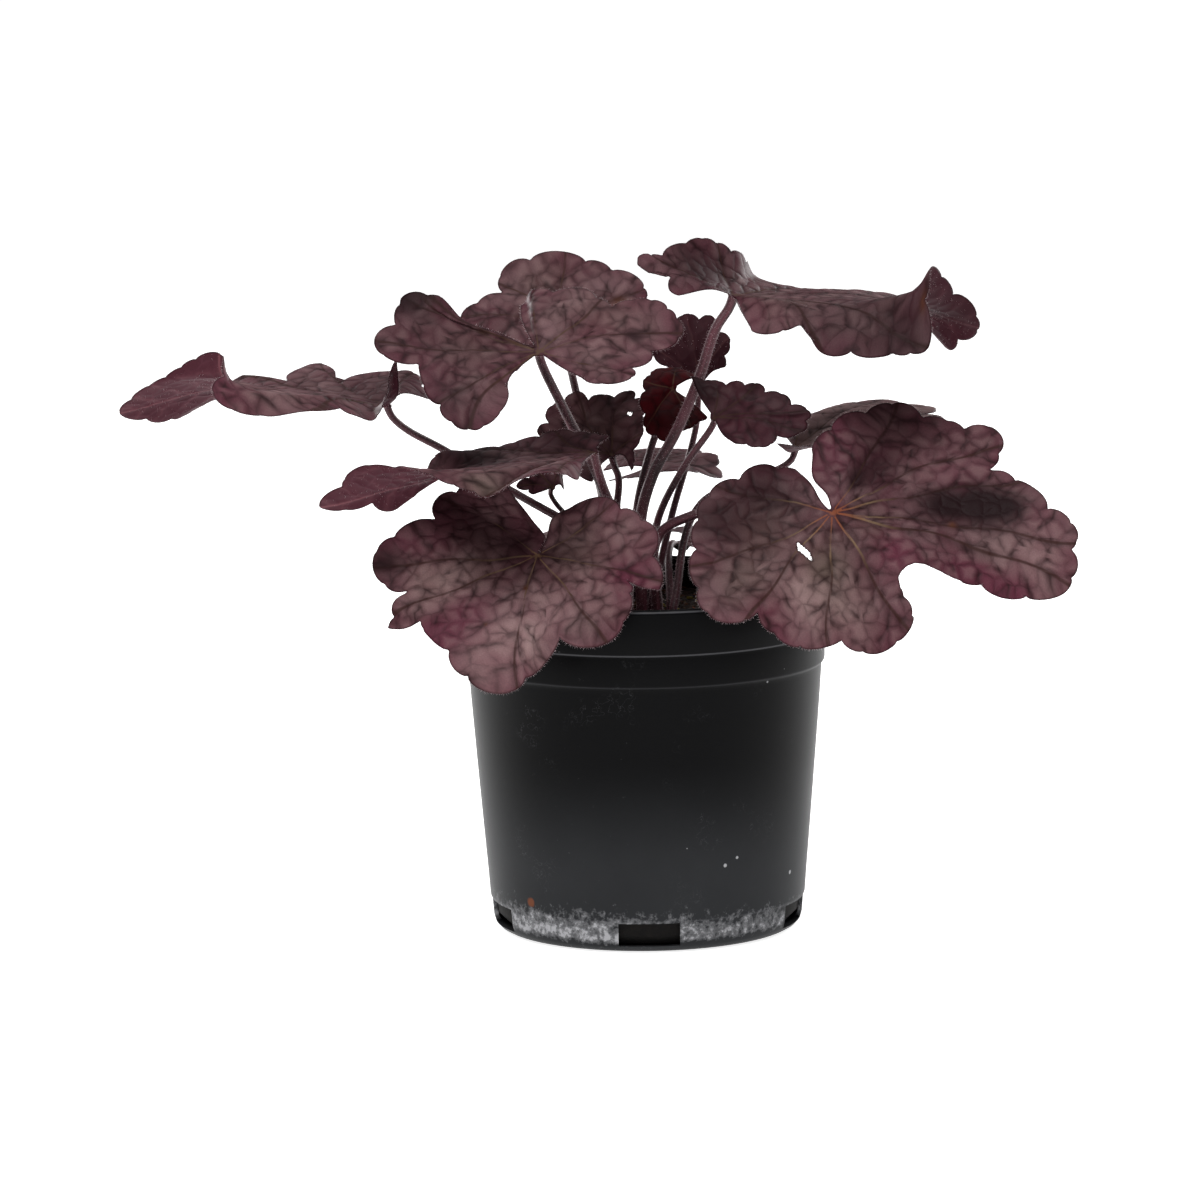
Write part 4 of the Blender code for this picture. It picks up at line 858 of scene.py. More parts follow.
@dataclass(frozen=True)
class Venation:
    """The net of fine veins, read alike by the relief and by the colours, in millimetres.

    Heuchera blades show side veins some 13 mm apart and cells of 6 to 9 mm between them. Each
    sway is a pitch, a detail and a size: the coarse one bends the veins, the fine one roughens
    them. wobble says how much of that reaches the side veins.
    """

    cell: float = 7.6
    sways: tuple = ((13.0, 2.5, 4.0), (4.6, 1.0, 2.3))
    wobble: float = 0.14
    side_pitch: float = 13.0
    side_slant: float = 0.78

    def fields(self, graph: Graph, kind: str) -> dict[str, Socket]:
        """Adds the nodes that measure the net.

        Args:
            graph: the tree of a material or of Geometry Nodes.
            kind: the node that reads an attribute there.

        Returns:
            Distances in millimetres to the nearest main vein, side vein and cell border, to the
            joint and to the rim, and the cell's random colour.
        """
        add = graph.add

        def read(name: str, vector: bool = False) -> Socket:
            """Reads an attribute in either sort of tree.

            Args:
                name: the attribute.
                vector: whether it is a vector.

            Returns:
                Its socket.
            """
            if kind == SHADE_READ:
                return add(kind, out="Vector" if vector else "Fac", attribute_name=name)
            sort = "FLOAT_VECTOR" if vector else "FLOAT"
            return add(kind, {"Name": name}, data_type=sort)

        plan = read("plan", True)
        coarse, fine = (drift(graph, plan, *sway) for sway in self.sways)
        shift = add(VECTOR, {0: coarse, 1: fine}, operation="ADD")
        moved = add(VECTOR, {0: plan, 1: shift}, operation="ADD")
        net = {"Vector": moved, "Scale": 1 / self.cell, "Randomness": 0.85}
        edge = add(CELLS, net, "Distance", voronoi_dimensions="2D", feature="DISTANCE_TO_EDGE")
        edge = add(MATH, {0: edge, 1: self.cell}, operation="MULTIPLY")
        tone = add(CELLS, net, "Color", voronoi_dimensions="2D", feature="F1")
        shift = add(SPLIT, {"Vector": shift}, "X")
        branch = add(MATH, {0: shift, 1: self.wobble, 2: read("branch")}, operation="MULTIPLY_ADD")
        side = add(MATH, {0: branch, 1: 0.5}, operation="PINGPONG")
        wide = self.side_pitch * self.side_slant
        side = add(MATH, {0: side, 1: wide}, operation="MULTIPLY")
        # Where two main veins' side veins meet, neither set is drawn.
        far = add(RANGE, {"Value": read("apart"), "From Min": 2.2, "From Max": 0.6, "To Max": 4.0})
        side = add(MATH, {0: side, 1: far}, operation="ADD")
        plain = {"main": read("vein"), "heart": read("heart"), "rim": read("rim")}
        return {"side": side, "edge": edge, "tone": tone, **plain}

    def pillow(self, graph: Graph, distance: Socket, reach: float) -> Socket:
        """Turns a distance from a vein into the height of a round blister.

        Args:
            graph: the tree to add nodes to.
            distance: how far each place is from the vein.
            reach: where the blister is full.

        Returns:
            Its height, from 0 to 1.
        """
        add = graph.add
        away = add(RANGE, {"Value": distance, "From Max": reach, "To Min": 1.0, "To Max": 0.0})
        away = add(MATH, {0: away, 1: 2.0}, operation="POWER")
        return add(MATH, {0: 1.0, 1: away}, operation="SUBTRACT")


@dataclass(frozen=True)
class BladeFinish:
    """The living skin of a heuchera blade: satin, cell by cell, with darker sunken veins.

    Its colours are the cells' two ends, the net, side and main veins, the four washes (flush, deep,
    olive and pale), a main vein's two colours near the joint, and a dead spot. deep also paints
    shade with the dark wash, and pale paints highlight with the pale wash and on each cell's
    middle.
    """

    name: str
    cell_light: str
    cell_dark: str
    net: str
    side: str
    main: str
    flush: str
    deep: str
    olive: str
    pale: str
    roughness: float
    net_strength: float
    vein_middle: str = "77604A"
    vein_joint: str = "7F452E"
    spot: str = "4A2A1C"
    under: bool = False
    venation: Venation = Venation()

    def material(self) -> Material:
        """Makes the material.

        Returns:
            It reads the blade's own attributes only.
        """
        material, graph, shader = new_material(self.name)
        add = graph.add
        at = self.venation.fields(graph, SHADE_READ)
        place = add(SHADE_READ, out="Vector", attribute_name="plan")
        mood, tint = (add(SHADE_READ, out="Vector", attribute_name=key) for key in ("mood", "tint"))
        moods, tints, tone = (
            add(SPLIT, {"Vector": value}).node.outputs for value in (mood, tint, at["tone"])
        )
        cloud = add(NOISE, {"Vector": place, "Scale": 0.045, "Detail": 3.0}, "Fac")
        grain = add(NOISE, {"Vector": place, "Scale": 1.6, "Detail": 4.0, "Roughness": 0.7}, "Fac")
        # Cells differ a little from one to the next, and more over some centimetres.
        pick = add(MATH, {0: tone["X"], 1: 0.35, 2: cloud}, operation="MULTIPLY_ADD")
        pick = add(RANGE, {"Value": pick, "From Min": 0.4, "From Max": 0.95})
        flush = add(RANGE, {"Value": at["rim"], "From Min": 0.0, "From Max": 12.0, "To Min": 0.3,
                            "To Max": 0.0})
        drifts = add(RANGE, {"Value": cloud, "From Min": 0.62, "From Max": 0.4, "To Max": 0.4})
        flush = add(MATH, {0: flush, 1: drifts}, operation="ADD")
        flush = add(MATH, {0: moods["X"], 1: flush}, operation="ADD", use_clamp=True)
        # The middle of each cell is puffed up, and a painted highlight lightens it towards the pale
        # colour.
        puff_highlight = add(RANGE, {"Value": at["edge"], "From Min": 0.4, "From Max": 3.2, "To Max": 0.26},
                   interpolation_type="SMOOTHSTEP")
        puff_highlight = add(MATH, {0: puff_highlight, 1: tone["Y"]}, operation="MULTIPLY")
        colour = linear(self.cell_dark)
        # tints X is the pale wash, partly painted highlight.
        for mask, code in (
            (pick, self.cell_light), (tints["X"], self.pale), (flush, self.flush),
            (moods["Z"], self.olive), (puff_highlight, self.pale),
        ):
            colour = add(MIX, {0: mask, 6: colour, 7: linear(code)}, 2, data_type="RGBA")
        fleck = add(RANGE, {"Value": grain, "From Min": 0.3, "From Max": 0.7, "To Min": 0.82,
                            "To Max": 1.16})
        colour = add(MIX, {0: 1.0, 6: colour, 7: fleck}, 2, data_type="RGBA", blend_type="MULTIPLY")
        # Each vein is a soft line, and some have a thin dark core; patches of them are faint. The
        # wide soft part of each line is partly painted shade in the sunken valley along the vein;
        # the thin core is the vein's own dark colour.
        patchy = add(NOISE, {"Vector": place, "Scale": 0.11, "Detail": 2.0}, "Fac")
        broken = add(RANGE, {"Value": patchy, "From Min": 0.38, "From Max": 0.6, "To Min": 0.15})
        layers = []
        for key, inner, outer, strength, code in (
            ("edge", 0.0, 2.4, 0.50, self.net), ("edge", 0.0, 0.8, 0.50, self.net),
            ("side", 0.0, 2.8, 0.85, self.side), ("side", 0.0, 0.95, 0.70, self.side),
            ("main", 0.4, 3.4, 0.80, self.side),
        ):
            mask = add(RANGE, {"Value": at[key], "From Min": outer, "From Max": inner,
                               "To Max": self.net_strength * strength},
                       interpolation_type="SMOOTHSTEP")
            mask = add(MATH, {0: mask, 1: broken}, operation="MULTIPLY")
            layers.append((mask, linear(code)))
        # Main veins are orange by the joint, olive for some way, then as dark as the net.
        near = add(RANGE, {"Value": at["heart"], "From Min": 32.0, "From Max": 5.0})
        near = add(MATH, {0: near, 1: tints["Z"]}, operation="MULTIPLY")
        ramp = add("ShaderNodeValToRGB", {"Fac": near}, "Color")
        stops = ramp.node.color_ramp.elements
        stops[0].color, stops[1].color = linear(self.main), linear(self.vein_joint)
        stops.new(0.55).color = linear(self.vein_middle)
        width = add(RANGE, {"Value": at["heart"], "From Max": 60.0, "To Min": 0.55, "To Max": 1.05})
        mask = add(MATH, {0: at["main"], 1: width}, operation="DIVIDE")
        mask = add(RANGE, {"Value": mask, "From Min": 1.0, "From Max": 0.2, "To Max": 0.85},
                   interpolation_type="SMOOTHSTEP")
        border = add(RANGE, {"Value": at["rim"], "From Min": 0.9, "From Max": 0.2, "To Max": 0.5})
        dark, spot = linear(self.deep), linear(self.spot)
        # moods Y is the dark wash, partly painted shade.
        layers += [(mask, ramp), (moods["Y"], dark), (border, dark), (tints["Y"], spot)]
        for mask, worn in layers:
            colour = add(MIX, {0: mask, 6: colour, 7: worn}, 2, data_type="RGBA")
        dome, ridge = (self.venation.pillow(graph, at[key], 1.6) for key in ("edge", "side"))
        height = add(MATH, {0: dome, 1: ridge}, operation="MULTIPLY")
        height = add(MATH, {0: grain, 1: 0.35, 2: height}, operation="MULTIPLY_ADD")
        bump = add(BUMP, {"Height": height, "Strength": 0.28, "Distance": 0.3 * MM},
                   invert=self.under)
        rough = add(RANGE, {"Value": grain, "To Min": self.roughness - 0.08,
                            "To Max": self.roughness + 0.10})
        set_shader(graph, shader, {
            "Base Color": colour, "Roughness": rough, "Normal": bump, "Specular IOR Level": 0.055,
        })
        return material


@dataclass(frozen=True)
class StalkFinish:
    """Soft, hairy petiole skin: dark maroon with lengthwise streaks."""

    name: str = "maroon leaf stalk"
    dark: str = "2A161A"
    light: str = "5A333B"
    streak: float = 2.4

    def material(self) -> Material:
        """Makes the material.

        Returns:
            Its streaks run along the stalk by the stalk's own plan.
        """
        material, graph, shader = new_material(self.name)
        add = graph.add
        plan = add(SHADE_READ, out="Vector", attribute_name="plan")
        long = add(VECTOR, {0: plan, 1: (1.0, 0.10, 1.0)}, operation="MULTIPLY")
        streaks = add(NOISE, {"Vector": long, "Scale": 1 / self.streak, "Detail": 3.0}, "Fac")
        pick = add(RANGE, {"Value": streaks, "From Min": 0.35, "From Max": 0.68})
        colour = add(MIX, {0: pick, 6: linear(self.dark), 7: linear(self.light)}, 2,
                     data_type="RGBA")
        bump = add(BUMP, {"Height": streaks, "Strength": 0.4, "Distance": 0.2 * MM})
        set_shader(graph, shader, {
            "Base Color": colour, "Roughness": 0.5, "Normal": bump, "Specular IOR Level": 0.3,
            "Sheen Weight": 0.2, "Sheen Roughness": 0.4, "Sheen Tint": linear("B98F97"),
        })
        return material


@dataclass(frozen=True)
class LeafPalette:
    """The three finishes that one leaf wears."""

    upper: Material
    under: Material
    stalk: Material


def relief_tree(venation: Venation) -> Tree:
    """Makes the tree that raises a blade between its veins and gives each face its finish.

    Args:
        venation: the net of veins.

    Returns:
        The tree.
    """
    graph, given = new_tree("blade relief", {
        "Dome height": "Float", "Main depth": "Float", "Side depth": "Float",
        "Upper": "Material", "Under": "Material", "Stalk": "Material",
    })
    add = graph.add
    at = venation.fields(graph, SHAPE_READ)
    height = venation.pillow(graph, at["edge"], 3.2)
    height = add(MATH, {0: height, 1: given.outputs["Dome height"]}, operation="MULTIPLY")
    for key, reach in (("main", 2.6), ("side", 1.9)):
        depth = add(RANGE, {"Value": at[key], "From Min": reach, "From Max": 0.0,
                            "To Max": given.outputs[f"{key.capitalize()} depth"]},
                    interpolation_type="SMOOTHSTEP")
        height = add(MATH, {0: height, 1: depth}, operation="SUBTRACT")
    for key, start, end in (("rim", 0.0, 3.5), ("heart", 2.5, 10.0)):
        fade = add(RANGE, {"Value": at[key], "From Min": start, "From Max": end})
        height = add(MATH, {0: height, 1: fade}, operation="MULTIPLY")
    lift = add(SHAPE_READ, {"Name": "lift"}, data_type="FLOAT_VECTOR")
    offset = add(VECTOR, {0: lift, 3: height}, operation="SCALE")
    shape = given.outputs["Geometry"]
    shape = add("GeometryNodeSetPosition", {"Geometry": shape, "Offset": offset})
    shape = add("GeometryNodeRealizeInstances", {"Geometry": shape})
    coat = add(SHAPE_READ, {"Name": "coat"}, data_type="INT")
    for number, key in enumerate(("Upper", "Under", "Stalk")):
        worn = add("FunctionNodeCompare", {2: coat, 3: number}, data_type="INT", operation="EQUAL")
        shape = add("GeometryNodeSetMaterial", {
            "Geometry": shape, "Selection": worn, "Material": given.outputs[key],
        })
    add("NodeGroupOutput", {"Geometry": shape})
    return graph.tree


@dataclass
class LeafPiece:
    """One leaf as a fine closed mesh: blade, veins and stalk.

    pitch is the spacing of the blade's points. The collar joins blade and stalk; the first row
    of the blade lies first_row times as far out. The blade thins to rim_thickness over the last
    rim_width. A rib stands under each main vein, rib_width wide; it starts rib_start from the
    joint, shrinks with the distance to rib_least at rib_reach, and fades out rib_fade from the
    margin. Main veins sway to either side. side_lean, side_curve and side_phase set how side
    veins leave them. The stalk swells by neck_swell under the blade and by flare to its foot.
    fuzz is how hairy the blade's top, its underside, its margin and the stalk are.
    """

    name: str
    leaf: Leaf
    number: int
    pitch: float = 0.96
    row_share: float = 0.86
    first_row: float = 1.3
    middle_thickness: float = 0.62
    rim_thickness: float = 0.34
    rim_width: float = 2.2
    sides: int = 12
    collar: float = 1.15
    stalk_pitch: float = 2.2
    fewest_rows: int = 8
    flare: float = 1.25
    foot_taper: float = 0.92
    neck: float = 0.9
    neck_swell: float = 0.10
    bend: float = 5.0
    ridges: int = 5
    ridge: float = 0.045
    soil_top: float = 142.0
    hole_depth: float = 12.0
    upright: float = 4.0
    gap: float = 0.3
    rib: float = 0.45
    rib_width: float = 0.9
    rib_start: float = 1.5
    rib_rise: float = 3.0
    rib_reach: float = 75.0
    rib_least: float = 0.25
    rib_fade: float = 4.0
    dome: float = 0.30
    main_depth: float = 0.40
    side_depth: float = 0.14
    plan_apart: float = 400.0
    sway: float = 0.9
    sway_pitch: float = 7.0
    sway_phase: float = 2.1
    sway_rise: float = 25.0
    side_lean: float = 0.95
    side_curve: float = 0.012
    side_phase: float = 0.37
    fuzz: tuple = (0.0, 0.012, 1.0, 0.10)

    def rows(self, blade: Blade) -> tuple[Array, Array, Array, list]:
        """Lays out the sheet's points.

        Args:
            blade: the leaf's sheet.

        Returns:
            The guide line, the share of the way out along it and the share of the way to the
            margin of each point after the joint, and the triangles, with the joint as point 0.
        """
        ring_u, _ = blade.collar(self.leaf.stalk * self.collar, self.sides)
        first = self.leaf.stalk * self.collar * self.first_row
        gaps = []
        for k in range(blade.last):
            inside = slice(k * blade.samples, (k + 1) * blade.samples + 1)
            gaps.append((blade.fine[inside], blade.share[inside]))
        steps = max(self.fewest_rows, round(self.row_share * blade.long.max() / self.pitch))
        u, t, out = [ring_u], [np.full(self.sides, -1.0)], [np.zeros(self.sides)]
        faces = [(0, k + 1, (k + 1) % self.sides + 1) for k in range(self.sides)]
        start = 1 + self.sides
        before = None
        for step in range(steps + 1):
            s = step / steps
            row, counts = [], []
            for k, (fine, share) in enumerate(gaps):
                wide = (share[-1] - share[0]) * blade.length
                narrow = first * (blade.turns[k + 1] - blade.turns[k])
                count = max(1, round((narrow + (wide - narrow) * s) / self.pitch))
                places = np.interp(np.linspace(share[0], share[-1], count + 1), share, fine)
                row.extend(places if k == 0 else places[1:])
                counts.append(count)
            row = np.array(row)
            line = np.interp(row, np.arange(blade.last + 1), blade.long)
            t.append((first + (line * blade.lobes(row) - first) * s) / line)
            u.append(row)
            out.append(np.full(len(row), s))
            numbers = list(range(start, start + len(row)))
            if before is None:
                faces += zipped(list(range(1, self.sides + 1)), ring_u, numbers, row)
            else:
                low = high = 0
                for old, new in zip(before[1], counts):
                    inner, outer = before[0][low:low + old + 1], numbers[high:high + new + 1]
                    shares = np.linspace(0, 1, old + 1), np.linspace(0, 1, new + 1)
                    faces += zipped(inner, shares[0], outer, shares[1])
                    low, high = low + old, high + new
            before = (numbers, counts)
            start += len(row)
        return np.concatenate(u), np.concatenate(t), np.concatenate(out), faces

    def thickness(self, vein: Array, far: Array, rim: Array) -> tuple:
        """Gives the blade its thickness.

        Args:
            vein: each point's distance from a main vein.
            far: its distance from the joint.
            rim: its distance from the margin.

        Returns:
            Half the thickness, and how far a rib stands out under it.
        """
        swell = np.clip(rim / self.rim_width, 0, 1)
        half = (self.rim_thickness + (self.middle_thickness - self.rim_thickness) * swell) / 2
        reach = np.clip(1 - far / self.rib_reach, self.rib_least, 1)
        round_rib = np.exp(-((vein / (self.rib_width * reach)) ** 2))
        rib = self.rib * reach * round_rib * np.clip(rim / self.rib_fade, 0, 1)
        return half, rib * np.clip((far - self.rib_start) / self.rib_rise, 0, 1)

    def build(self, tree: Tree, palette: LeafPalette) -> Piece:
        """Builds the leaf and dresses it.

        Args:
            tree: the relief tree.
            palette: its finishes.

        Returns:
            The piece, whose fuzz attribute says how hairy each face is.
        """
        blade = Blade(self.leaf)
        u, t, out, faces = self.rows(blade)
        ring_u, ring = blade.collar(self.leaf.stalk * self.collar, self.sides)
        on_blade, lines = slice(self.sides, None), np.arange(blade.last + 1)
        line = np.interp(u[on_blade], lines, blade.long)
        inset = (1 - out[on_blade]) * line * blade.lobes(u[on_blade])
        places = blade.across(u[on_blade], t[on_blade]) + blade.scallops_at(u[on_blade], inset)
        sheet = np.vstack([blade.joint, ring, places])
        ring_t = self.leaf.stalk * self.collar / np.interp(ring_u, lines, blade.long)
        turn, far = blade.plan(u, np.concatenate([ring_t, t[on_blade]]))
        turn, far = np.append(0.0, turn), np.append(0.0, far)
        plan = np.column_stack([far * np.cos(turn), far * np.sin(turn), np.zeros(len(far))])
        faces = self.cut_slits(blade, plan, np.array(faces))
        vein, branch, apart = self.vein_fields(blade, turn, far)
        edges = np.concatenate([faces[:, [0, 1]], faces[:, [1, 2]], faces[:, [2, 0]]])
        keys = np.sort(edges, axis=1)
        _, index, counts = np.unique(keys, axis=0, return_index=True, return_counts=True)
        border = edges[index[counts == 1]]
        rim = self.rim_distance(sheet, border)
        normals = self.corner_normals(sheet, faces)
        half, rib = self.thickness(vein, far, rim)
        count = len(sheet)
        stalk_points, stalk_faces, stalk_plan = self.stalk(sheet, normals, half[0], count)
        lower = sheet - normals * (half + rib)[:, None]
        points = np.vstack([sheet + normals * half[:, None], lower, stalk_points])
        # The underside leaves out the joint's own triangles, where the stalk grows on.
        under = faces[np.all(faces != 0, axis=1)][:, ::-1] + count
        one, other = border.T
        band = np.column_stack([other, one, one + count, other + count])
        every = [*faces.tolist(), *under.tolist(), *band.tolist(), *stalk_faces]
        piece = mesh_object(self.name, points, every)
        mesh = piece.data

        def both(values: Array) -> Array:
            """Repeats a blade value for both faces and gives the stalk zeros."""
            rest = np.zeros((len(stalk_points), *values.shape[1:]))
            return np.concatenate([values, values, rest])

        # The leaves' plans lie far apart, so no two leaves have the same net.
        shift = np.array([self.number * self.plan_apart, 0.0, 0.0])
        washes = self.washes(blade, plan)
        write_attribute(mesh, "plan", np.vstack([plan, plan, stalk_plan]) + shift)
        for key, values in (
            ("lift", normals * MM), ("mood", washes[:, :3]), ("tint", washes[:, 3:]),
            ("vein", vein), ("branch", branch), ("apart", apart), ("heart", far), ("rim", rim),
        ):
            write_attribute(mesh, key, both(values))
        spread = [len(part) for part in (faces, under, band, stalk_faces)]
        write_attribute(mesh, "coat", np.repeat([0, 1, 1, 2], spread), "FACE")
        write_attribute(mesh, "fuzz", np.repeat(self.fuzz, spread), "FACE")
        piece.data = grown(piece, self.name, tree, {
            "Dome height": self.dome, "Main depth": self.main_depth, "Side depth": self.side_depth,
            "Upper": palette.upper, "Under": palette.under, "Stalk": palette.stalk,
        })
        bpy.data.meshes.remove(mesh)
        piece.data.shade_smooth()
        return piece

    def cut_slits(self, blade: Blade, plan: Array, faces: Array) -> Array:
        """Takes out the triangles of each slit.

        Args:
            blade: the leaf's sheet.
            plan: the flat plan of the points.
            faces: the triangles.

        Returns:
            The triangles that are left.
        """
        middle = plan[faces].mean(axis=1)[:, :2]
        keep = np.ones(len(faces), bool)
        for width, *spots in self.leaf.slits:
            turn, far = blade.plan(*np.array(spots).T)
            path = np.column_stack([far * np.cos(turn), far * np.sin(turn)])
            for k, (a, b) in enumerate(zip(path, path[1:])):
                way = b - a
                share = np.clip(((middle - a) @ way) / (way @ way), 0, 1)
                near = np.linalg.norm(middle - a - share[:, None] * way, axis=1)
                along = (k + share) / (len(path) - 1)
                keep &= near > width * (0.4 + 0.6 * np.sin(pi * np.clip(along, 0.02, 0.98)))
        return faces[keep]

    def vein_fields(self, blade: Blade, turn: Array, far: Array) -> tuple:
        """Measures each point against the main veins on the plan.

        Args:
            blade: the leaf's sheet.
            turn: each point's turn round the joint.
            far: each point's distance from the joint.

        Returns:
            The distance to the nearest main vein, the running number of side veins with its
            fraction, and how much farther the next main vein is.
        """
        mains = blade.turns[list(self.leaf.mains)]
        off = turn[:, None] - mains[None, :]
        bent = np.clip(off, -pi / 2, pi / 2)
        across = far[:, None] * np.abs(np.sin(bent))
        across[np.abs(off) > pi / 2] = 1e3
        order = np.argsort(across, axis=1)
        rows = np.arange(len(far))
        nearest = order[:, 0]
        near = across[rows, nearest]
        apart = across[rows, order[:, 1]] - near
        sway = self.sway * np.sin(far / self.sway_pitch + self.sway_phase * nearest)
        sway *= np.clip(far / self.sway_rise, 0, 1)
        near = np.abs(near * np.sign(off[rows, nearest]) + sway)
        along = far * np.cos(bent[rows, nearest])
        left = np.where(off[rows, nearest] > 0, 0.0, 0.5)
        branch = (along - near * self.side_lean + self.side_curve * near**2) / Venation.side_pitch
        return near, branch + left + nearest * self.side_phase, apart

    def washes(self, blade: Blade, plan: Array) -> Array:
        """Adds up the leaf's washes of colour at each point, a column for each mood and one more.

        Args:
            blade: the leaf's sheet.
            plan: the flat plan of the points.

        Returns:
            Strengths from 0 to 1, with the main veins' warmth as the last column.
        """
        made = np.zeros((len(plan), len(Mood) + 1))
        made[:, -1] = self.leaf.warmth
        for mood, patches in self.leaf.washes.items():
            for line, share, size, strength in run(patches):
                turn, far = blade.plan(np.array([line]), np.array([share]))
                spot = np.array([far[0] * cos(turn[0]), far[0] * sin(turn[0])])
                near = np.linalg.norm(plan[:, :2] - spot, axis=1)
                made[:, mood.value] += strength * np.exp(-((near / size) ** 2))
        made = np.clip(made, 0, 0.97)
        made[:, Mood.DARK.value] = 1 - (1 - made[:, Mood.DARK.value]) ** 2
        return made

    def rim_distance(self, sheet: Array, border: Array) -> Array:
        """Measures how far each point is from the border.

        Args:
            sheet: the points.
            border: the edges of the border, as pairs of point numbers.

        Returns:
            Distances in millimetres.
        """
        ends = np.unique(border)
        tree = kdtree.KDTree(len(ends))
        for k in ends:
            tree.insert(sheet[k], int(k))
        tree.balance()
        return np.array([tree.find(point)[2] for point in sheet])

    def corner_normals(self, points: Array, faces: Array) -> Array:
        """Averages the directions of the faces round each point, by their size.

        Args:
            points: the points.
            faces: the triangles.

        Returns:
            One direction for each point.
        """
        a, b, c = (points[faces[:, k]] for k in range(3))
        way = np.cross(b - a, c - a)
        normals = np.zeros_like(points)
        for k in range(3):
            np.add.at(normals, faces[:, k], way)
        size = np.linalg.norm(normals, axis=1)[:, None]
        return normals / np.where(size > 0, size, 1)

    def stalk(self, sheet: Array, normals: Array, half: float, count: int) -> tuple:
        """Builds the stalk under the joint.

        Args:
            sheet: the blade's points, the joint first and the collar's ring next.
            normals: their directions.
            half: half the blade's thickness at the joint.
            count: how many points the sheet has.

        Returns:
            The stalk's points, its faces, and the plan that its streaks follow.
        """
        leaf = self.leaf
        upward = normals[0]
        foot = leaf.stalk * self.flare
        neck = sheet[0] - upward * (half + self.neck)
        x, y = leaf.base
        bends = run(leaf.route)
        onward = np.array(bends[-1]) - neck
        onward = onward / np.linalg.norm(onward) - upward
        bend = neck + onward / np.linalg.norm(onward) * self.bend
        route = np.array([(x, y, self.soil_top + self.upright), *bends, bend, neck])
        length = np.linalg.norm(np.diff(route, axis=0), axis=1).sum()
        down = np.linspace(0, 1, max(self.fewest_rows, round(length / self.stalk_pitch)))
        line = bent_path(route, 1 - down)
        radii = np.interp(down, [0, 1], [leaf.stalk, foot])
        radii *= 1 + self.neck_swell * np.exp(-down * length / 2.0)
        low = self.soil_top - self.hole_depth + self.gap
        line = np.vstack([line, (x, y, low)])
        radii = np.append(radii, foot * self.foot_taper)
        ways = np.gradient(line, axis=0)
        ways[0] = (ways[0] / np.linalg.norm(ways[0]) - upward) / 2
        ways[-1] = ways[-2] = (0.0, 0.0, -1.0)
        side = sheet[1] - sheet[0]
        turn = turns(self.sides)
        ridged = 1 + self.ridge * np.cos(self.ridges * turn)
        rings, plans = [], []
        for k, (place, way, radius) in enumerate(zip(line, ways, radii)):
            way = way / np.linalg.norm(way)
            side = side - way * side.dot(way)
            side = side / np.linalg.norm(side)
            other = np.cross(side, way)
            size = radius * (ridged if k > 1 else 1)
            ring = np.outer(np.cos(turn) * size, side) + np.outer(np.sin(turn) * size, other)
            rings.append(place + ring)
            away = np.full(self.sides, k * length / len(line))
            plans.append(np.column_stack([np.cos(turn) * 2, away, np.sin(turn) * 2]))
        upper = [count + k + 1 for k in range(self.sides)]
        faces = []
        for ring in range(len(rings)):
            start = 2 * count + ring * self.sides
            lower = [start + k for k in range(self.sides)]
            for k in range(self.sides):
                after = (k + 1) % self.sides
                faces.append((upper[k], lower[k], lower[after], upper[after]))
            upper = lower
        faces.append(tuple(reversed(upper)))
        return np.vstack(rings), faces, np.vstack(plans)


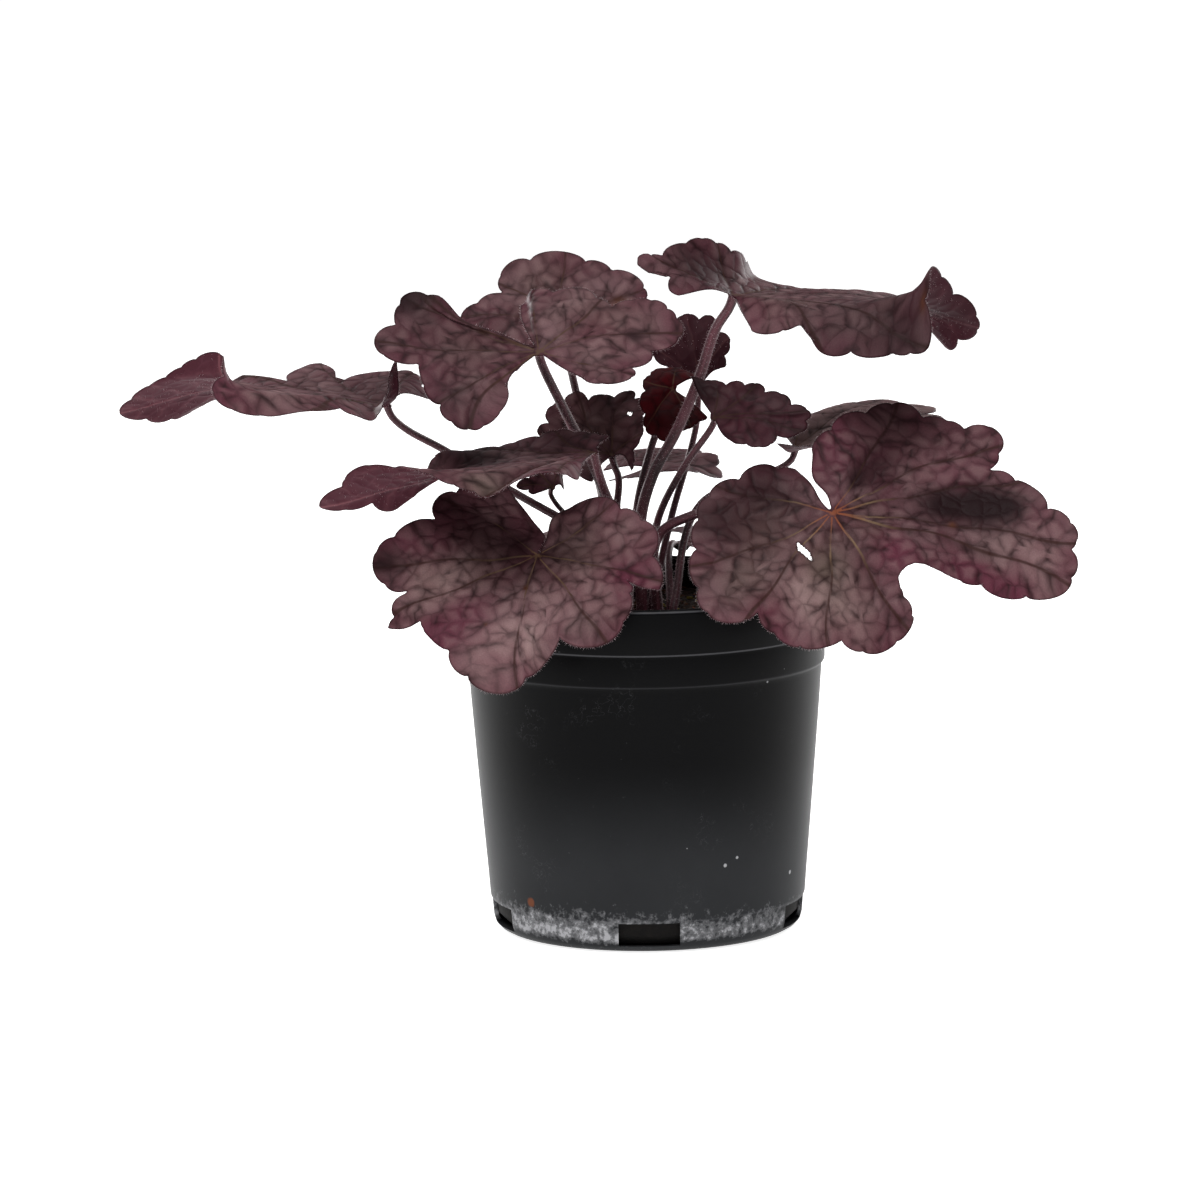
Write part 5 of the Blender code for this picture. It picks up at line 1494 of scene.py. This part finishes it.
@dataclass
class HairCoat:
    """The short pale hairs on stalks and margins, grown by Geometry Nodes.

    Real ones are thinner; these are as coarse as they need to be to show. density is hairs to a
    square millimetre where a face is as hairy as can be.
    """

    name: str = "leaf_hairs"
    length: float = 1.2
    width: float = 0.10
    density: float = 7.0
    seed: int = 11

    def tree(self) -> Tree:
        """Makes the tree that grows a hair at random points of fuzzy faces.

        Returns:
            The tree.
        """
        graph, given = new_tree("hair coat", {
            "Density": "Float", "Length": "Float", "Width": "Float", "Seed": "Int",
            "Material": "Material",
        })
        add = graph.add
        size = given.outputs
        fuzz = add(SHAPE_READ, {"Name": "fuzz"}, data_type="FLOAT")
        dense = add(MATH, {0: fuzz, 1: size["Density"]}, operation="MULTIPLY")
        spread = add("GeometryNodeDistributePointsOnFaces", {
            "Mesh": size["Geometry"], "Density": dense, "Seed": size["Seed"],
        }).node
        cone = add("GeometryNodeMeshCone", {
            "Vertices": 3, "Radius Top": 0.0, "Radius Bottom": size["Width"],
            "Depth": size["Length"],
        })
        tilt = add(RANDOM, {0: (-0.5, -0.5, -0.5), 1: (0.5, 0.5, 0.5), "Seed": 5},
                   data_type="FLOAT_VECTOR")
        way = add(VECTOR, {0: spread.outputs["Normal"], 1: tilt}, operation="ADD")
        turned = add("FunctionNodeAlignEulerToVector", {"Vector": way}, axis="Z")
        scale = add(RANDOM, {2: 0.55, 3: 1.15, "Seed": 9}, 1, data_type="FLOAT")
        hairs = add("GeometryNodeInstanceOnPoints", {
            "Points": spread.outputs["Points"], "Instance": cone, "Rotation": turned,
            "Scale": scale,
        })
        hairs = add("GeometryNodeRealizeInstances", {"Geometry": hairs})
        hairs = add("GeometryNodeSetMaterial", {"Geometry": hairs, "Material": size["Material"]})
        add("NodeGroupOutput", {"Geometry": hairs})
        return graph.tree

    def build(self, leaves: list[Piece]) -> Piece:
        """Grows the hairs of all leaves as one piece.

        Args:
            leaves: the leaf pieces.

        Returns:
            The piece.
        """
        material, graph, shader = new_material("pale leaf hair")
        set_shader(graph, shader, {
            "Base Color": linear("B49CA0"), "Roughness": 0.55, "Sheen Weight": 0.3,
            "Specular IOR Level": 0.4,
        })
        tree = self.tree()
        points, faces, start = [], [], 0
        for number, leaf in enumerate(leaves):
            mesh = grown(leaf, self.name, tree, {
                "Density": self.density / MM**2, "Length": self.length * MM,
                "Width": self.width * MM / 2, "Seed": self.seed + number, "Material": material,
            })
            found = np.empty(3 * len(mesh.vertices))
            mesh.vertices.foreach_get("co", found)
            points.append(found.reshape(-1, 3) / MM)
            faces += [tuple(start + k for k in face.vertices) for face in mesh.polygons]
            start += len(mesh.vertices)
            bpy.data.meshes.remove(mesh)
        piece = mesh_object(self.name, np.vstack(points), faces)
        piece.data.materials.append(material)
        return piece


@dataclass(frozen=True)
class PotFinish:
    """Injection-moulded black polypropylene: satin, with a painted floor reflection in grey below
    and painted highlight lines on its ledges, chalky at the foot.
    """

    name: str = "satin black polypropylene"
    black: str = "050506"
    reflected_floor_grey: str = "28292B"
    chalk: str = "A3A3A6"
    ledge: str = "6E6E72"
    foot: float = 17.0
    # Each a height and how strong the painted highlight line there is.
    ledges: tuple = ((14.6, 0.1), (122.8, 0.08), (137.3, 0.3), (156.9, 0.35))
    # Each a place on the wall, a size in millimetres and a colour.
    splashes: tuple = (
        ((-53.2, -49.2, 20.0), 2.6, "6A3A22"), ((39.9, -62.7, 42.0), 0.8, "A3A3A6"),
        ((34.5, -65.5, 39.0), 0.9, "A3A3A6"), ((64.3, -34.9, 29.5), 1.1, "A3A3A6"),
    )

    def material(self) -> Material:
        """Makes the material.

        Returns:
            Everything in it reads Object coordinates, in metres.
        """
        material, graph, shader = new_material(self.name)
        add = graph.add
        place = add("ShaderNodeTexCoord", out="Object")
        mm = add(VECTOR, {0: place, 3: 1 / MM}, operation="SCALE")
        parts = add(SPLIT, {"Vector": mm}).node.outputs
        film = add(NOISE, {"Vector": mm, "Scale": 0.02, "Detail": 3.0}, "Fac")
        # Patchy grey that grows towards the bottom is a painted reflection of the pale floor.
        low = add(RANGE, {"Value": parts["Z"], "From Min": 90.0, "From Max": 30.0},
                  interpolation_type="SMOOTHSTEP")
        film = add(RANGE, {"Value": film, "From Min": 0.3, "From Max": 0.7, "To Min": 0.75})
        floor_reflection = add(MATH, {0: low, 1: film}, operation="MULTIPLY")
        speckle = add(NOISE, {"Vector": mm, "Scale": 0.28, "Detail": 7.0, "Roughness": 0.72},
                      "Fac")
        # Lime left by watering: a broken crust on the foot ring, thinning out above it.
        crust = speckle
        for value, start, end, least, most in (
            (parts["Z"], self.foot + 8, self.foot - 7, -0.24, 0.13),
            (parts["Z"], 6.5, 3.0, 0.0, -0.3), (parts["X"], -10.0, 40.0, 0.02, -0.06),
        ):
            more = add(RANGE, {"Value": value, "From Min": start, "From Max": end,
                               "To Min": least, "To Max": most})
            crust = add(MATH, {0: crust, 1: more}, operation="ADD")
        thin, thick = (
            add(RANGE, {"Value": crust, "From Min": start, "From Max": end, "To Max": most})
            for start, end, most in ((0.44, 0.6, 0.3), (0.56, 0.7, 0.9))
        )
        crust = add(MATH, {0: thick, 1: thin}, operation="MAXIMUM")
        # A few cells of a coarse net hold one lime speck each.
        cell = add(CELLS, {"Vector": mm, "Scale": 0.11}, "Distance", feature="F1").node
        chosen = add(SPLIT, {"Vector": cell.outputs["Color"]}, "X")
        size = add(RANGE, {"Value": chosen, "From Min": 0.72, "From Max": 1.0, "To Max": 0.075})
        specks = add(MATH, {0: size, 1: cell.outputs["Distance"]}, operation="SUBTRACT")
        specks = add(RANGE, {"Value": specks, "From Max": 0.02, "To Max": 0.55})
        layers = [(floor_reflection, self.reflected_floor_grey), (crust, self.chalk), (specks, self.chalk)]
        # A painted highlight line lies along each ledge of the collar and the foot.
        for level, shine in self.ledges:
            away = add(MATH, {0: parts["Z"], 1: level}, operation="SUBTRACT")
            away = add(MATH, {0: away}, operation="ABSOLUTE")
            ledge_highlight = add(RANGE, {"Value": away, "From Min": 0.55, "From Max": 0.15,
                                 "To Max": shine})
            layers.append((ledge_highlight, self.ledge))
        # Faint scuffs: thin crooked scratches, in patches.
        crooked = add(NOISE, {"Vector": mm, "Scale": 0.30, "Detail": 2.0}, "Fac")
        crooked = add(MATH, {0: crooked, 1: 0.5}, operation="SUBTRACT")
        crooked = add(MATH, {0: crooked}, operation="ABSOLUTE")
        crooked = add(RANGE, {"Value": crooked, "From Min": 0.008, "From Max": 0.002,
                              "To Max": 0.22})
        rubbed = add(NOISE, {"Vector": mm, "Scale": 0.035, "Detail": 4.0}, "Fac")
        rubbed = add(RANGE, {"Value": rubbed, "From Min": 0.6, "From Max": 0.68})
        crooked = add(MATH, {0: crooked, 1: rubbed}, operation="MULTIPLY")
        layers.append((crooked, self.ledge))
        # A few splashes have dried.
        for spot, size, code in self.splashes:
            away = add(VECTOR, {0: mm, 1: spot}, "Value", operation="DISTANCE")
            ragged = add(MATH, {0: speckle, 1: size, 2: away}, operation="MULTIPLY_ADD")
            wet = add(RANGE, {"Value": ragged, "From Min": size * 1.5,
                              "From Max": size * 1.1, "To Max": 0.85})
            layers.append((wet, code))
        colour = linear(self.black)
        for mask, code in layers:
            colour = add(MIX, {0: mask, 6: colour, 7: linear(code)}, 2, data_type="RGBA")
        grain = add(NOISE, {"Vector": mm, "Scale": 2.2, "Detail": 2.0}, "Fac")
        rough = add(RANGE, {"Value": film, "To Min": 0.3, "To Max": 0.42})
        rough = add(MATH, {0: crust, 1: 0.4, 2: rough}, operation="MULTIPLY_ADD")
        relief = add(MATH, {0: crust, 1: 2.0, 2: grain}, operation="MULTIPLY_ADD")
        bump = add(BUMP, {"Height": relief, "Strength": 0.25, "Distance": 0.12 * MM})
        set_shader(graph, shader, {
            "Base Color": colour, "Roughness": rough, "Normal": bump, "Specular IOR Level": 0.06,
        })
        return material


@dataclass
class PotMoulding:
    """The nursery pot: one turned moulding with a collar band, a rolled lip and drain notches."""

    height: float = 158.0
    sides: int = 192
    drains: int = 5
    drain_width: float = 27.7
    drain_bottom: float = 3.2
    drain_top: float = 13.8
    drain_depth: float = 16.0
    drain_reach: float = 74.7
    sharp_angle: float = 38.0
    outside: tuple = (
        (64.0, 0.0), (66.4, 0.4), (68.4, 1.5), (69.9, 3.2), (70.7, 6.0), (71.0, 9.5), (71.35, 13.4),
        (71.6, 14.3), (72.0, 14.9), (72.15, 16.0), (73.0, 27.0), (75.0, 50.0), (77.5, 80.0),
        (79.6, 106.0), (80.55, 119.8), (80.7, 121.2), (80.95, 121.9), (81.5, 122.4), (81.95, 123.0),
        (82.1, 123.8), (82.1, 130.0), (82.1, 135.8), (82.0, 136.5), (82.1, 137.1), (82.45, 137.5),
        (82.6, 138.0), (82.6, 147.0), (82.6, 155.6), (82.45, 156.6), (82.0, 157.4), (81.4, 157.85),
        (80.8, 158.0),
    )
    inside: tuple = (
        (80.1, 157.85), (79.55, 157.3), (79.25, 156.3), (79.2, 155.0), (79.15, 140.0),
        (79.0, 121.2), (75.5, 80.0), (72.5, 45.0), (69.1, 8.0), (68.8, 5.6), (67.6, 3.8),
        (66.2, 2.9), (64.6, 2.6), (40.0, 2.6), (0.0, 2.6),
    )

    def turned(self) -> tuple[Array, list]:
        """Turns the profile about Z.

        Returns:
            Points and faces of a closed body.
        """
        rings = [
            [(radius * cos(a), radius * sin(a), z) for a in turns(self.sides)]
            for radius, z in ((40.0, 0.0), *self.outside, *self.inside[:-1])
        ]
        return turned_body(rings, ((0.0, 0.0, 0.0), (0.0, 0.0, self.inside[-1][1])))

    def build(self) -> Piece:
        """Builds the pot with its notches cut.

        Returns:
            The piece.
        """
        pot = mesh_object("nursery_pot", *self.turned())
        low, high = self.drain_bottom, self.drain_top
        cutters = []
        for k in range(self.drains):
            turn = -pi / 2 + 2 * pi * k / self.drains
            out = np.array([cos(turn), sin(turn)])
            side = np.array([-out[1], out[0]]) * self.drain_width / 2
            corners = [out * (self.drain_reach - self.drain_depth), out * (self.drain_reach + 4)]
            ring = [corners[0] - side, corners[1] - side, corners[1] + side, corners[0] + side]
            points = [(*spot, z) for z in (low, high) for spot in ring]
            faces = [(3, 2, 1, 0), (4, 5, 6, 7)]
            faces += [(a, (a + 1) % 4, (a + 1) % 4 + 4, a + 4) for a in range(4)]
            cutters.append(mesh_object(f"cutter_{k}", np.array(points), faces))
        for cutter in cutters:
            cut = pot.modifiers.new(cutter.name, "BOOLEAN")
            cut.operation, cut.object, cut.solver = "DIFFERENCE", cutter, "EXACT"
        depsgraph = bpy.context.evaluated_depsgraph_get()
        depsgraph.update()
        made = bpy.data.meshes.new_from_object(pot.evaluated_get(depsgraph), depsgraph=depsgraph)
        pot.modifiers.clear()
        pot.data = made
        for cutter in cutters:
            bpy.data.objects.remove(cutter, do_unlink=True)
        made.shade_smooth()
        made.set_sharp_from_angle(angle=radians(self.sharp_angle))
        made.materials.clear()
        made.materials.append(PotFinish().material())
        return pot


@dataclass(frozen=True)
class GrainFinish:
    """A dull granular stuff, such as peat, bark, lime grit or moss."""

    name: str
    dark: str
    light: str
    pitch: float
    roughness: float = 0.95
    relief: float = 0.3

    def material(self) -> Material:
        """Makes the material.

        Returns:
            Its mottling reads Object coordinates.
        """
        material, graph, shader = new_material(self.name)
        add = graph.add
        place = add("ShaderNodeTexCoord", out="Object")
        grain = add(NOISE, {
            "Vector": place, "Scale": 1 / (self.pitch * MM), "Detail": 5.0, "Roughness": 0.65,
        }, "Fac")
        pick = add(RANGE, {"Value": grain, "From Min": 0.35, "From Max": 0.68})
        colour = add(MIX, {0: pick, 6: linear(self.dark), 7: linear(self.light)}, 2,
                     data_type="RGBA")
        bump = add(BUMP, {"Height": grain, "Strength": 0.7, "Distance": self.relief * MM})
        set_shader(graph, shader, {
            "Base Color": colour, "Roughness": self.roughness, "Normal": bump,
            "Specular IOR Level": 0.25,
        })
        return material


class Bit(NamedTuple):
    """One kind of loose bit.

    count is how many lie on a square centimetre, size the smallest and largest, shape its length,
    width and height for a size of one, and where the face attribute that says where it lies.
    """

    name: str
    count: float
    size: tuple
    shape: tuple
    finish: GrainFinish
    seed: int
    where: str = "loose"


@dataclass
class SoilFill:
    """The bark and peat mix in the pot, and the loose bits on it."""

    top: float = 142.0
    radius: float = 79.02
    rings: int = 62
    sides: int = 192
    waves: tuple = ((0.21, 0.13, 0.6), (0.11, -0.24, 2.1), (-0.07, 0.31, 0.0))
    wave: float = 1.0
    lump: float = 1.5
    lump_pitch: float = 6.0
    raised: float = 0.8
    bit_depth: float = 3.0
    moss_size: float = 9.0
    moss_everywhere: float = 0.12
    moss_at: tuple = ((2.0, 30.0), (0.0, 46.0), (24.0, 48.0), (-52.0, -30.0), (40.0, 52.0))
    shaded: float = 100.0
    wall: tuple = ((78.95, 121.2), (75.45, 80.0), (72.4, 45.0), (69.0, 8.0), (64.0, 3.0))

    def height(self, x: float, y: float) -> float:
        """Works out the soil's height.

        Args:
            x: the place's X.
            y: the place's Y.

        Returns:
            Its Z.
        """
        swell = sum(sin(a * x + b * y + c) for a, b, c in self.waves) * self.wave / 3
        at = Vector((x / self.lump_pitch, y / self.lump_pitch, 4.2))
        crumb = noise.fractal(at, 0.9, 2.1, 4) * self.lump
        return self.top + self.raised + swell + crumb

    def build(self) -> Piece:
        """Builds the soil body, with a crumbly top.

        Returns:
            The piece.
        """
        angles = turns(self.sides)
        rings = []
        for ring in range(1, self.rings + 1):
            r = self.radius * ring / self.rings
            spots = [(r * cos(a), r * sin(a)) for a in angles]
            rings.append([(x, y, self.height(x, y)) for x, y in spots])
        rings += [[(r * cos(a), r * sin(a), z) for a in angles] for r, z in self.wall]
        ends = (0.0, 0.0, self.height(0, 0)), (0.0, 0.0, self.wall[-1][1])
        piece = mesh_object("potting_soil", *turned_body(rings, ends, downwards=True))
        mesh = piece.data
        # Faces below shaded wear a near-black copy of the peat: painted shade on the soil behind
        # the pot wall, seen through the drain notches.
        for finish in (GrainFinish("peat and bark potting mix", "0E0906", "33231A", 2.2),
                       GrainFinish("peat in the pot's shade", "040303", "0D0907", 2.2)):
            mesh.materials.append(finish.material())
        for face in mesh.polygons:
            face.material_index = int(face.center.z < self.shaded * MM)
        middles = np.array([tuple(face.center) for face in mesh.polygons]) / MM
        loose = (middles[:, 2] > self.top - self.bit_depth).astype(float)
        write_attribute(mesh, "loose", loose, "FACE")
        mossy = sum(
            np.exp(-(np.hypot(middles[:, 0] - x, middles[:, 1] - y) / self.moss_size) ** 2)
            for x, y in self.moss_at
        )
        write_attribute(mesh, "damp", loose * (self.moss_everywhere + mossy), "FACE")
        return piece

    def bits(self) -> list[Bit]:
        """The kinds of loose bit, from common to rare."""
        return [
            Bit("soil_crumbs", 5.0, (0.7, 2.2), (1.0, 0.9, 0.7),
                GrainFinish("peat crumb", "120B08", "3A281C", 1.2), 21),
            Bit("bark_chips", 1.5, (1.6, 4.2), (1.4, 0.7, 0.28),
                GrainFinish("composted bark chip", "23140D", "5A3C28", 2.5), 22),
            Bit("lime_grit", 0.10, (0.6, 1.3), (1.0, 0.9, 0.8),
                GrainFinish("perlite grain", "8E8A80", "D8D4C8", 0.9), 23),
            Bit("moss_bits", 3.4, (1.0, 2.6), (1.0, 0.8, 0.6),
                GrainFinish("damp moss", "3A3810", "8A7A2E", 0.7), 24, "damp"),
            Bit("dry_scales", 0.45, (1.5, 3.6), (1.6, 0.6, 0.16),
                GrainFinish("dry leaf scale", "3C1D12", "8A4A2A", 1.6), 25),
        ]

    def scatter(self, soil: Piece) -> list[Piece]:
        """Strews the loose bits over the soil's top with Geometry Nodes.

        Args:
            soil: the soil body.

        Returns:
            One piece for each kind of bit.
        """
        graph, given = new_tree("loose bits", {
            "Where": "String", "Density": "Float", "Smallest": "Float", "Largest": "Float",
            "Shape": "Vector", "Seed": "Int", "Material": "Material",
        })
        add = graph.add
        size = given.outputs
        loose = add(SHAPE_READ, {"Name": size["Where"]}, data_type="FLOAT")
        dense = add(MATH, {0: loose, 1: size["Density"]}, operation="MULTIPLY")
        spread = add("GeometryNodeDistributePointsOnFaces", {
            "Mesh": size["Geometry"], "Density": dense, "Seed": size["Seed"],
        }).node
        ball = add("GeometryNodeMeshIcoSphere", {"Radius": 0.5, "Subdivisions": 2})
        tilt = add(RANDOM, {0: (-0.6, -0.6, 0.0), 1: (0.6, 0.6, 6.28), "Seed": size["Seed"]},
                   data_type="FLOAT_VECTOR")
        scale = add(RANDOM, {2: size["Smallest"], 3: size["Largest"], "Seed": 9}, 1,
                    data_type="FLOAT")
        scale = add(VECTOR, {0: size["Shape"], 3: scale}, operation="SCALE")
        bits = add("GeometryNodeInstanceOnPoints", {
            "Points": spread.outputs["Points"], "Instance": ball, "Rotation": tilt,
            "Scale": scale,
        })
        bits = add("GeometryNodeRealizeInstances", {"Geometry": bits})
        where = add("GeometryNodeInputPosition")
        rough = drift(graph, where, 1 / 900, 1.0, 1.1 * MM)
        bits = add("GeometryNodeSetPosition", {"Geometry": bits, "Offset": rough})
        bits = add("GeometryNodeSetMaterial", {"Geometry": bits, "Material": size["Material"]})
        add("NodeGroupOutput", {"Geometry": bits})
        pieces = []
        for bit in self.bits():
            mesh = grown(soil, bit.name, graph.tree, {
                "Where": bit.where, "Density": bit.count / (10 * MM) ** 2,
                "Smallest": bit.size[0] * MM, "Largest": bit.size[1] * MM, "Shape": bit.shape,
                "Seed": bit.seed, "Material": bit.finish.material(),
            })
            mesh.shade_flat()
            piece = bpy.data.objects.new(bit.name, mesh)
            bpy.context.scene.collection.objects.link(piece)
            pieces.append(piece)
        return pieces


@dataclass
class CrownWood:
    """The short woody base among the stalks, knobbly with old stalk bases."""

    centre: tuple = (-2.0, 0.0)
    radius: float = 4.4
    top: float = 142.0
    depth: float = 11.7
    rise: float = 8.0
    sides: int = 40
    steps: int = 30

    def build(self) -> Piece:
        """Builds the crown.

        Returns:
            The piece.
        """
        low = self.top - self.depth
        span = self.rise + self.depth
        cx, cy = self.centre
        rings = []
        for step in range(1, self.steps):
            share = step / self.steps
            z = low + span * share
            shape = min(1.0, 0.8 + share) * (1 - max(0.0, share - 0.55) ** 2 * 2.6)
            ring = []
            for a in turns(self.sides):
                scale = abs(sin(2.5 * a + 1.9 * z)) * 0.10 + 0.85
                at = Vector((cos(a) * 2, sin(a) * 2, z / 2.2))
                r = self.radius * shape * (scale + noise.fractal(at, 0.8, 2.0, 3) * 0.10)
                ring.append((cx + r * cos(a), cy + r * sin(a), z))
            rings.append(ring)
        ends = (cx, cy, low), (cx, cy, self.top + self.rise - 0.4)
        piece = mesh_object("crown_wood", *turned_body(rings, ends))
        finish = GrainFinish("brown crown bark", "1D100A", "5B3A26", 1.6, 0.88, 0.5)
        piece.data.materials.append(finish.material())
        return piece


@dataclass
class Studio:
    """Pale floor, soft light and the camera at the photograph's view."""

    distance: float = 3082.66
    elevation: float = 0.157386
    roll: float = -0.0131172
    lens_pixels: float = 6760.15
    frame_pixels: float = 1200.0
    sensor: float = 36.0
    target: tuple = (-20.183, 0.0, 150.04)

    def build(self) -> None:
        """Makes the camera, the floor, the lights and the world."""
        scene = bpy.context.scene
        scene.view_settings.view_transform = "Standard"
        back = Vector((0.0, -cos(self.elevation), sin(self.elevation)))
        level = Vector((1.0, 0.0, 0.0))
        rise = Vector((0.0, sin(self.elevation), cos(self.elevation)))
        right = level * cos(self.roll) + rise * sin(self.roll)
        up = rise * cos(self.roll) - level * sin(self.roll)
        data = bpy.data.cameras.new("camera")
        data.sensor_width = self.sensor
        data.lens = self.lens_pixels * self.sensor / self.frame_pixels
        data.clip_start, data.clip_end = 0.05, 60.0
        camera = bpy.data.objects.new("camera", data)
        turn = Matrix((right, up, back)).transposed().to_4x4()
        place = (Vector(self.target) + back * self.distance) * MM
        camera.matrix_world = Matrix.Translation(place) @ turn
        scene.collection.objects.link(camera)
        scene.camera = camera
        self.floor()
        self.lights()

    def floor(self) -> None:
        """Lays the pale floor."""
        material, graph, shader = new_material("matt white studio floor")
        set_shader(graph, shader, {"Base Color": (0.75, 0.75, 0.75, 1.0), "Roughness": 0.9,
                                   "Specular IOR Level": 0.1, "Emission Strength": 0.84,
                                   "Emission Color": (1.0, 1.0, 1.0, 1.0)})
        count, wide = 96, 30000.0
        points = [(0.0, 0.0, -0.2)]
        points += [(wide * cos(a), wide * sin(a), -0.2) for a in turns(count)]
        faces = [(0, k + 1, (k + 1) % count + 1) for k in range(count)]
        floor = mesh_object("studio_floor", np.array(points), faces)
        floor.data.materials.append(material)

    def lights(self) -> None:
        """Hangs the soft lights and sets the world."""
        world = bpy.data.worlds.new("white studio")
        world.use_nodes = True
        sky = world.node_tree.nodes["Background"]
        sky.inputs["Color"].default_value = (1.0, 1.0, 1.0, 1.0)
        sky.inputs["Strength"].default_value = 0.27
        bpy.context.scene.world = world
        for name, place, aim, size, power in (
            ("key", (-0.3, -1.1, 2.0), (0, 0, 0.2), 1.2, 37.0),
            ("top", (0.2, 0.5, 2.1), (0, 0, 0.2), 1.2, 6.0),
            ("left rim", (-1.25, 1.5, 0.75), (0, 0, 0.12), 1.1, 36.0),
            ("right rim", (1.25, 1.5, 0.75), (0, 0, 0.12), 1.1, 27.0),
        ):
            data = bpy.data.lights.new(name, "AREA")
            data.size, data.energy = size, power
            lamp = bpy.data.objects.new(name, data)
            lamp.location = place
            lamp.rotation_euler = (Vector(aim) - Vector(place)).to_track_quat("-Z", "Y").to_euler()
            bpy.context.scene.collection.objects.link(lamp)


UPPER = BladeFinish(
    # A matt-satin skin: taupe pink cells between sunken dark veins, flushed maroon at the rim.
    name="heuchera upper skin", cell_light="664C4F", cell_dark="412C2D", net="221213",
    side="1E0F10", main="331E1B", flush="572A37", deep="1C0C0F", olive="4F443C", pale="8B7170",
    roughness=0.46, net_strength=0.62,
)
UNDER = BladeFinish(
    # The purple back of the blade, with paler raised veins and a softer gloss.
    name="heuchera under skin", cell_light="48262E", cell_dark="2F171D", net="553039",
    side="5C363D", main="6B4147", flush="431F28", deep="200C10", olive="3C2126", pale="5A2F38",
    roughness=0.55, net_strength=0.45, under=True,
)
BACKLIT_RED = BladeFinish(
    # A young blade with the light behind it, and that backlight painted into its colour: a deep
    # crimson glow, going to black at the folds.
    name="heuchera backlit crimson skin", cell_light="3C060D", cell_dark="180406", net="120405",
    side="0E0304", main="2A0508", flush="3C060C", deep="0C0304", olive="240808", pale="620A12",
    roughness=0.45, net_strength=0.5,
)


def hand_over(piece: Piece, node: str = "") -> None:
    """Hands a finished piece to the frame and reports it.

    Args:
        piece: the piece, which rides on the part's one body.
        node: the CAD node that it replaces, where it does.
    """
    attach(piece, "root")
    if node:
        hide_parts(node)
    piece.data.calc_loop_triangles()
    LOG.info("%s: %d triangles", piece.name, len(piece.data.loop_triangles))


def main() -> None:
    """Builds each sub-assembly in order and hands its pieces to the frame."""
    logging.basicConfig(level=logging.INFO, format="%(message)s")
    Studio().build()
    palette = LeafPalette(UPPER.material(), UNDER.material(), StalkFinish().material())
    backlit_palette = replace(palette, upper=BACKLIT_RED.material())
    tree = relief_tree(UPPER.venation)
    leaves = []
    for number, (name, leaf) in enumerate(LEAVES.items()):
        # The crimson finish paints the backlight on leaf_centre_red into its colour.
        worn = backlit_palette if name == "leaf_centre_red" else palette
        leaves.append(LeafPiece(f"heuchera_{name}", leaf, number).build(tree, worn))
        hand_over(leaves[-1], name)
    hand_over(HairCoat().build(leaves))
    hand_over(PotMoulding().build(), "pot")
    fill = SoilFill()
    soil = fill.build()
    hand_over(soil, "soil")
    for bit in fill.scatter(soil):
        hand_over(bit)
    hand_over(CrownWood().build(), "crown")
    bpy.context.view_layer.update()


if __name__ == "__main__":
    main()
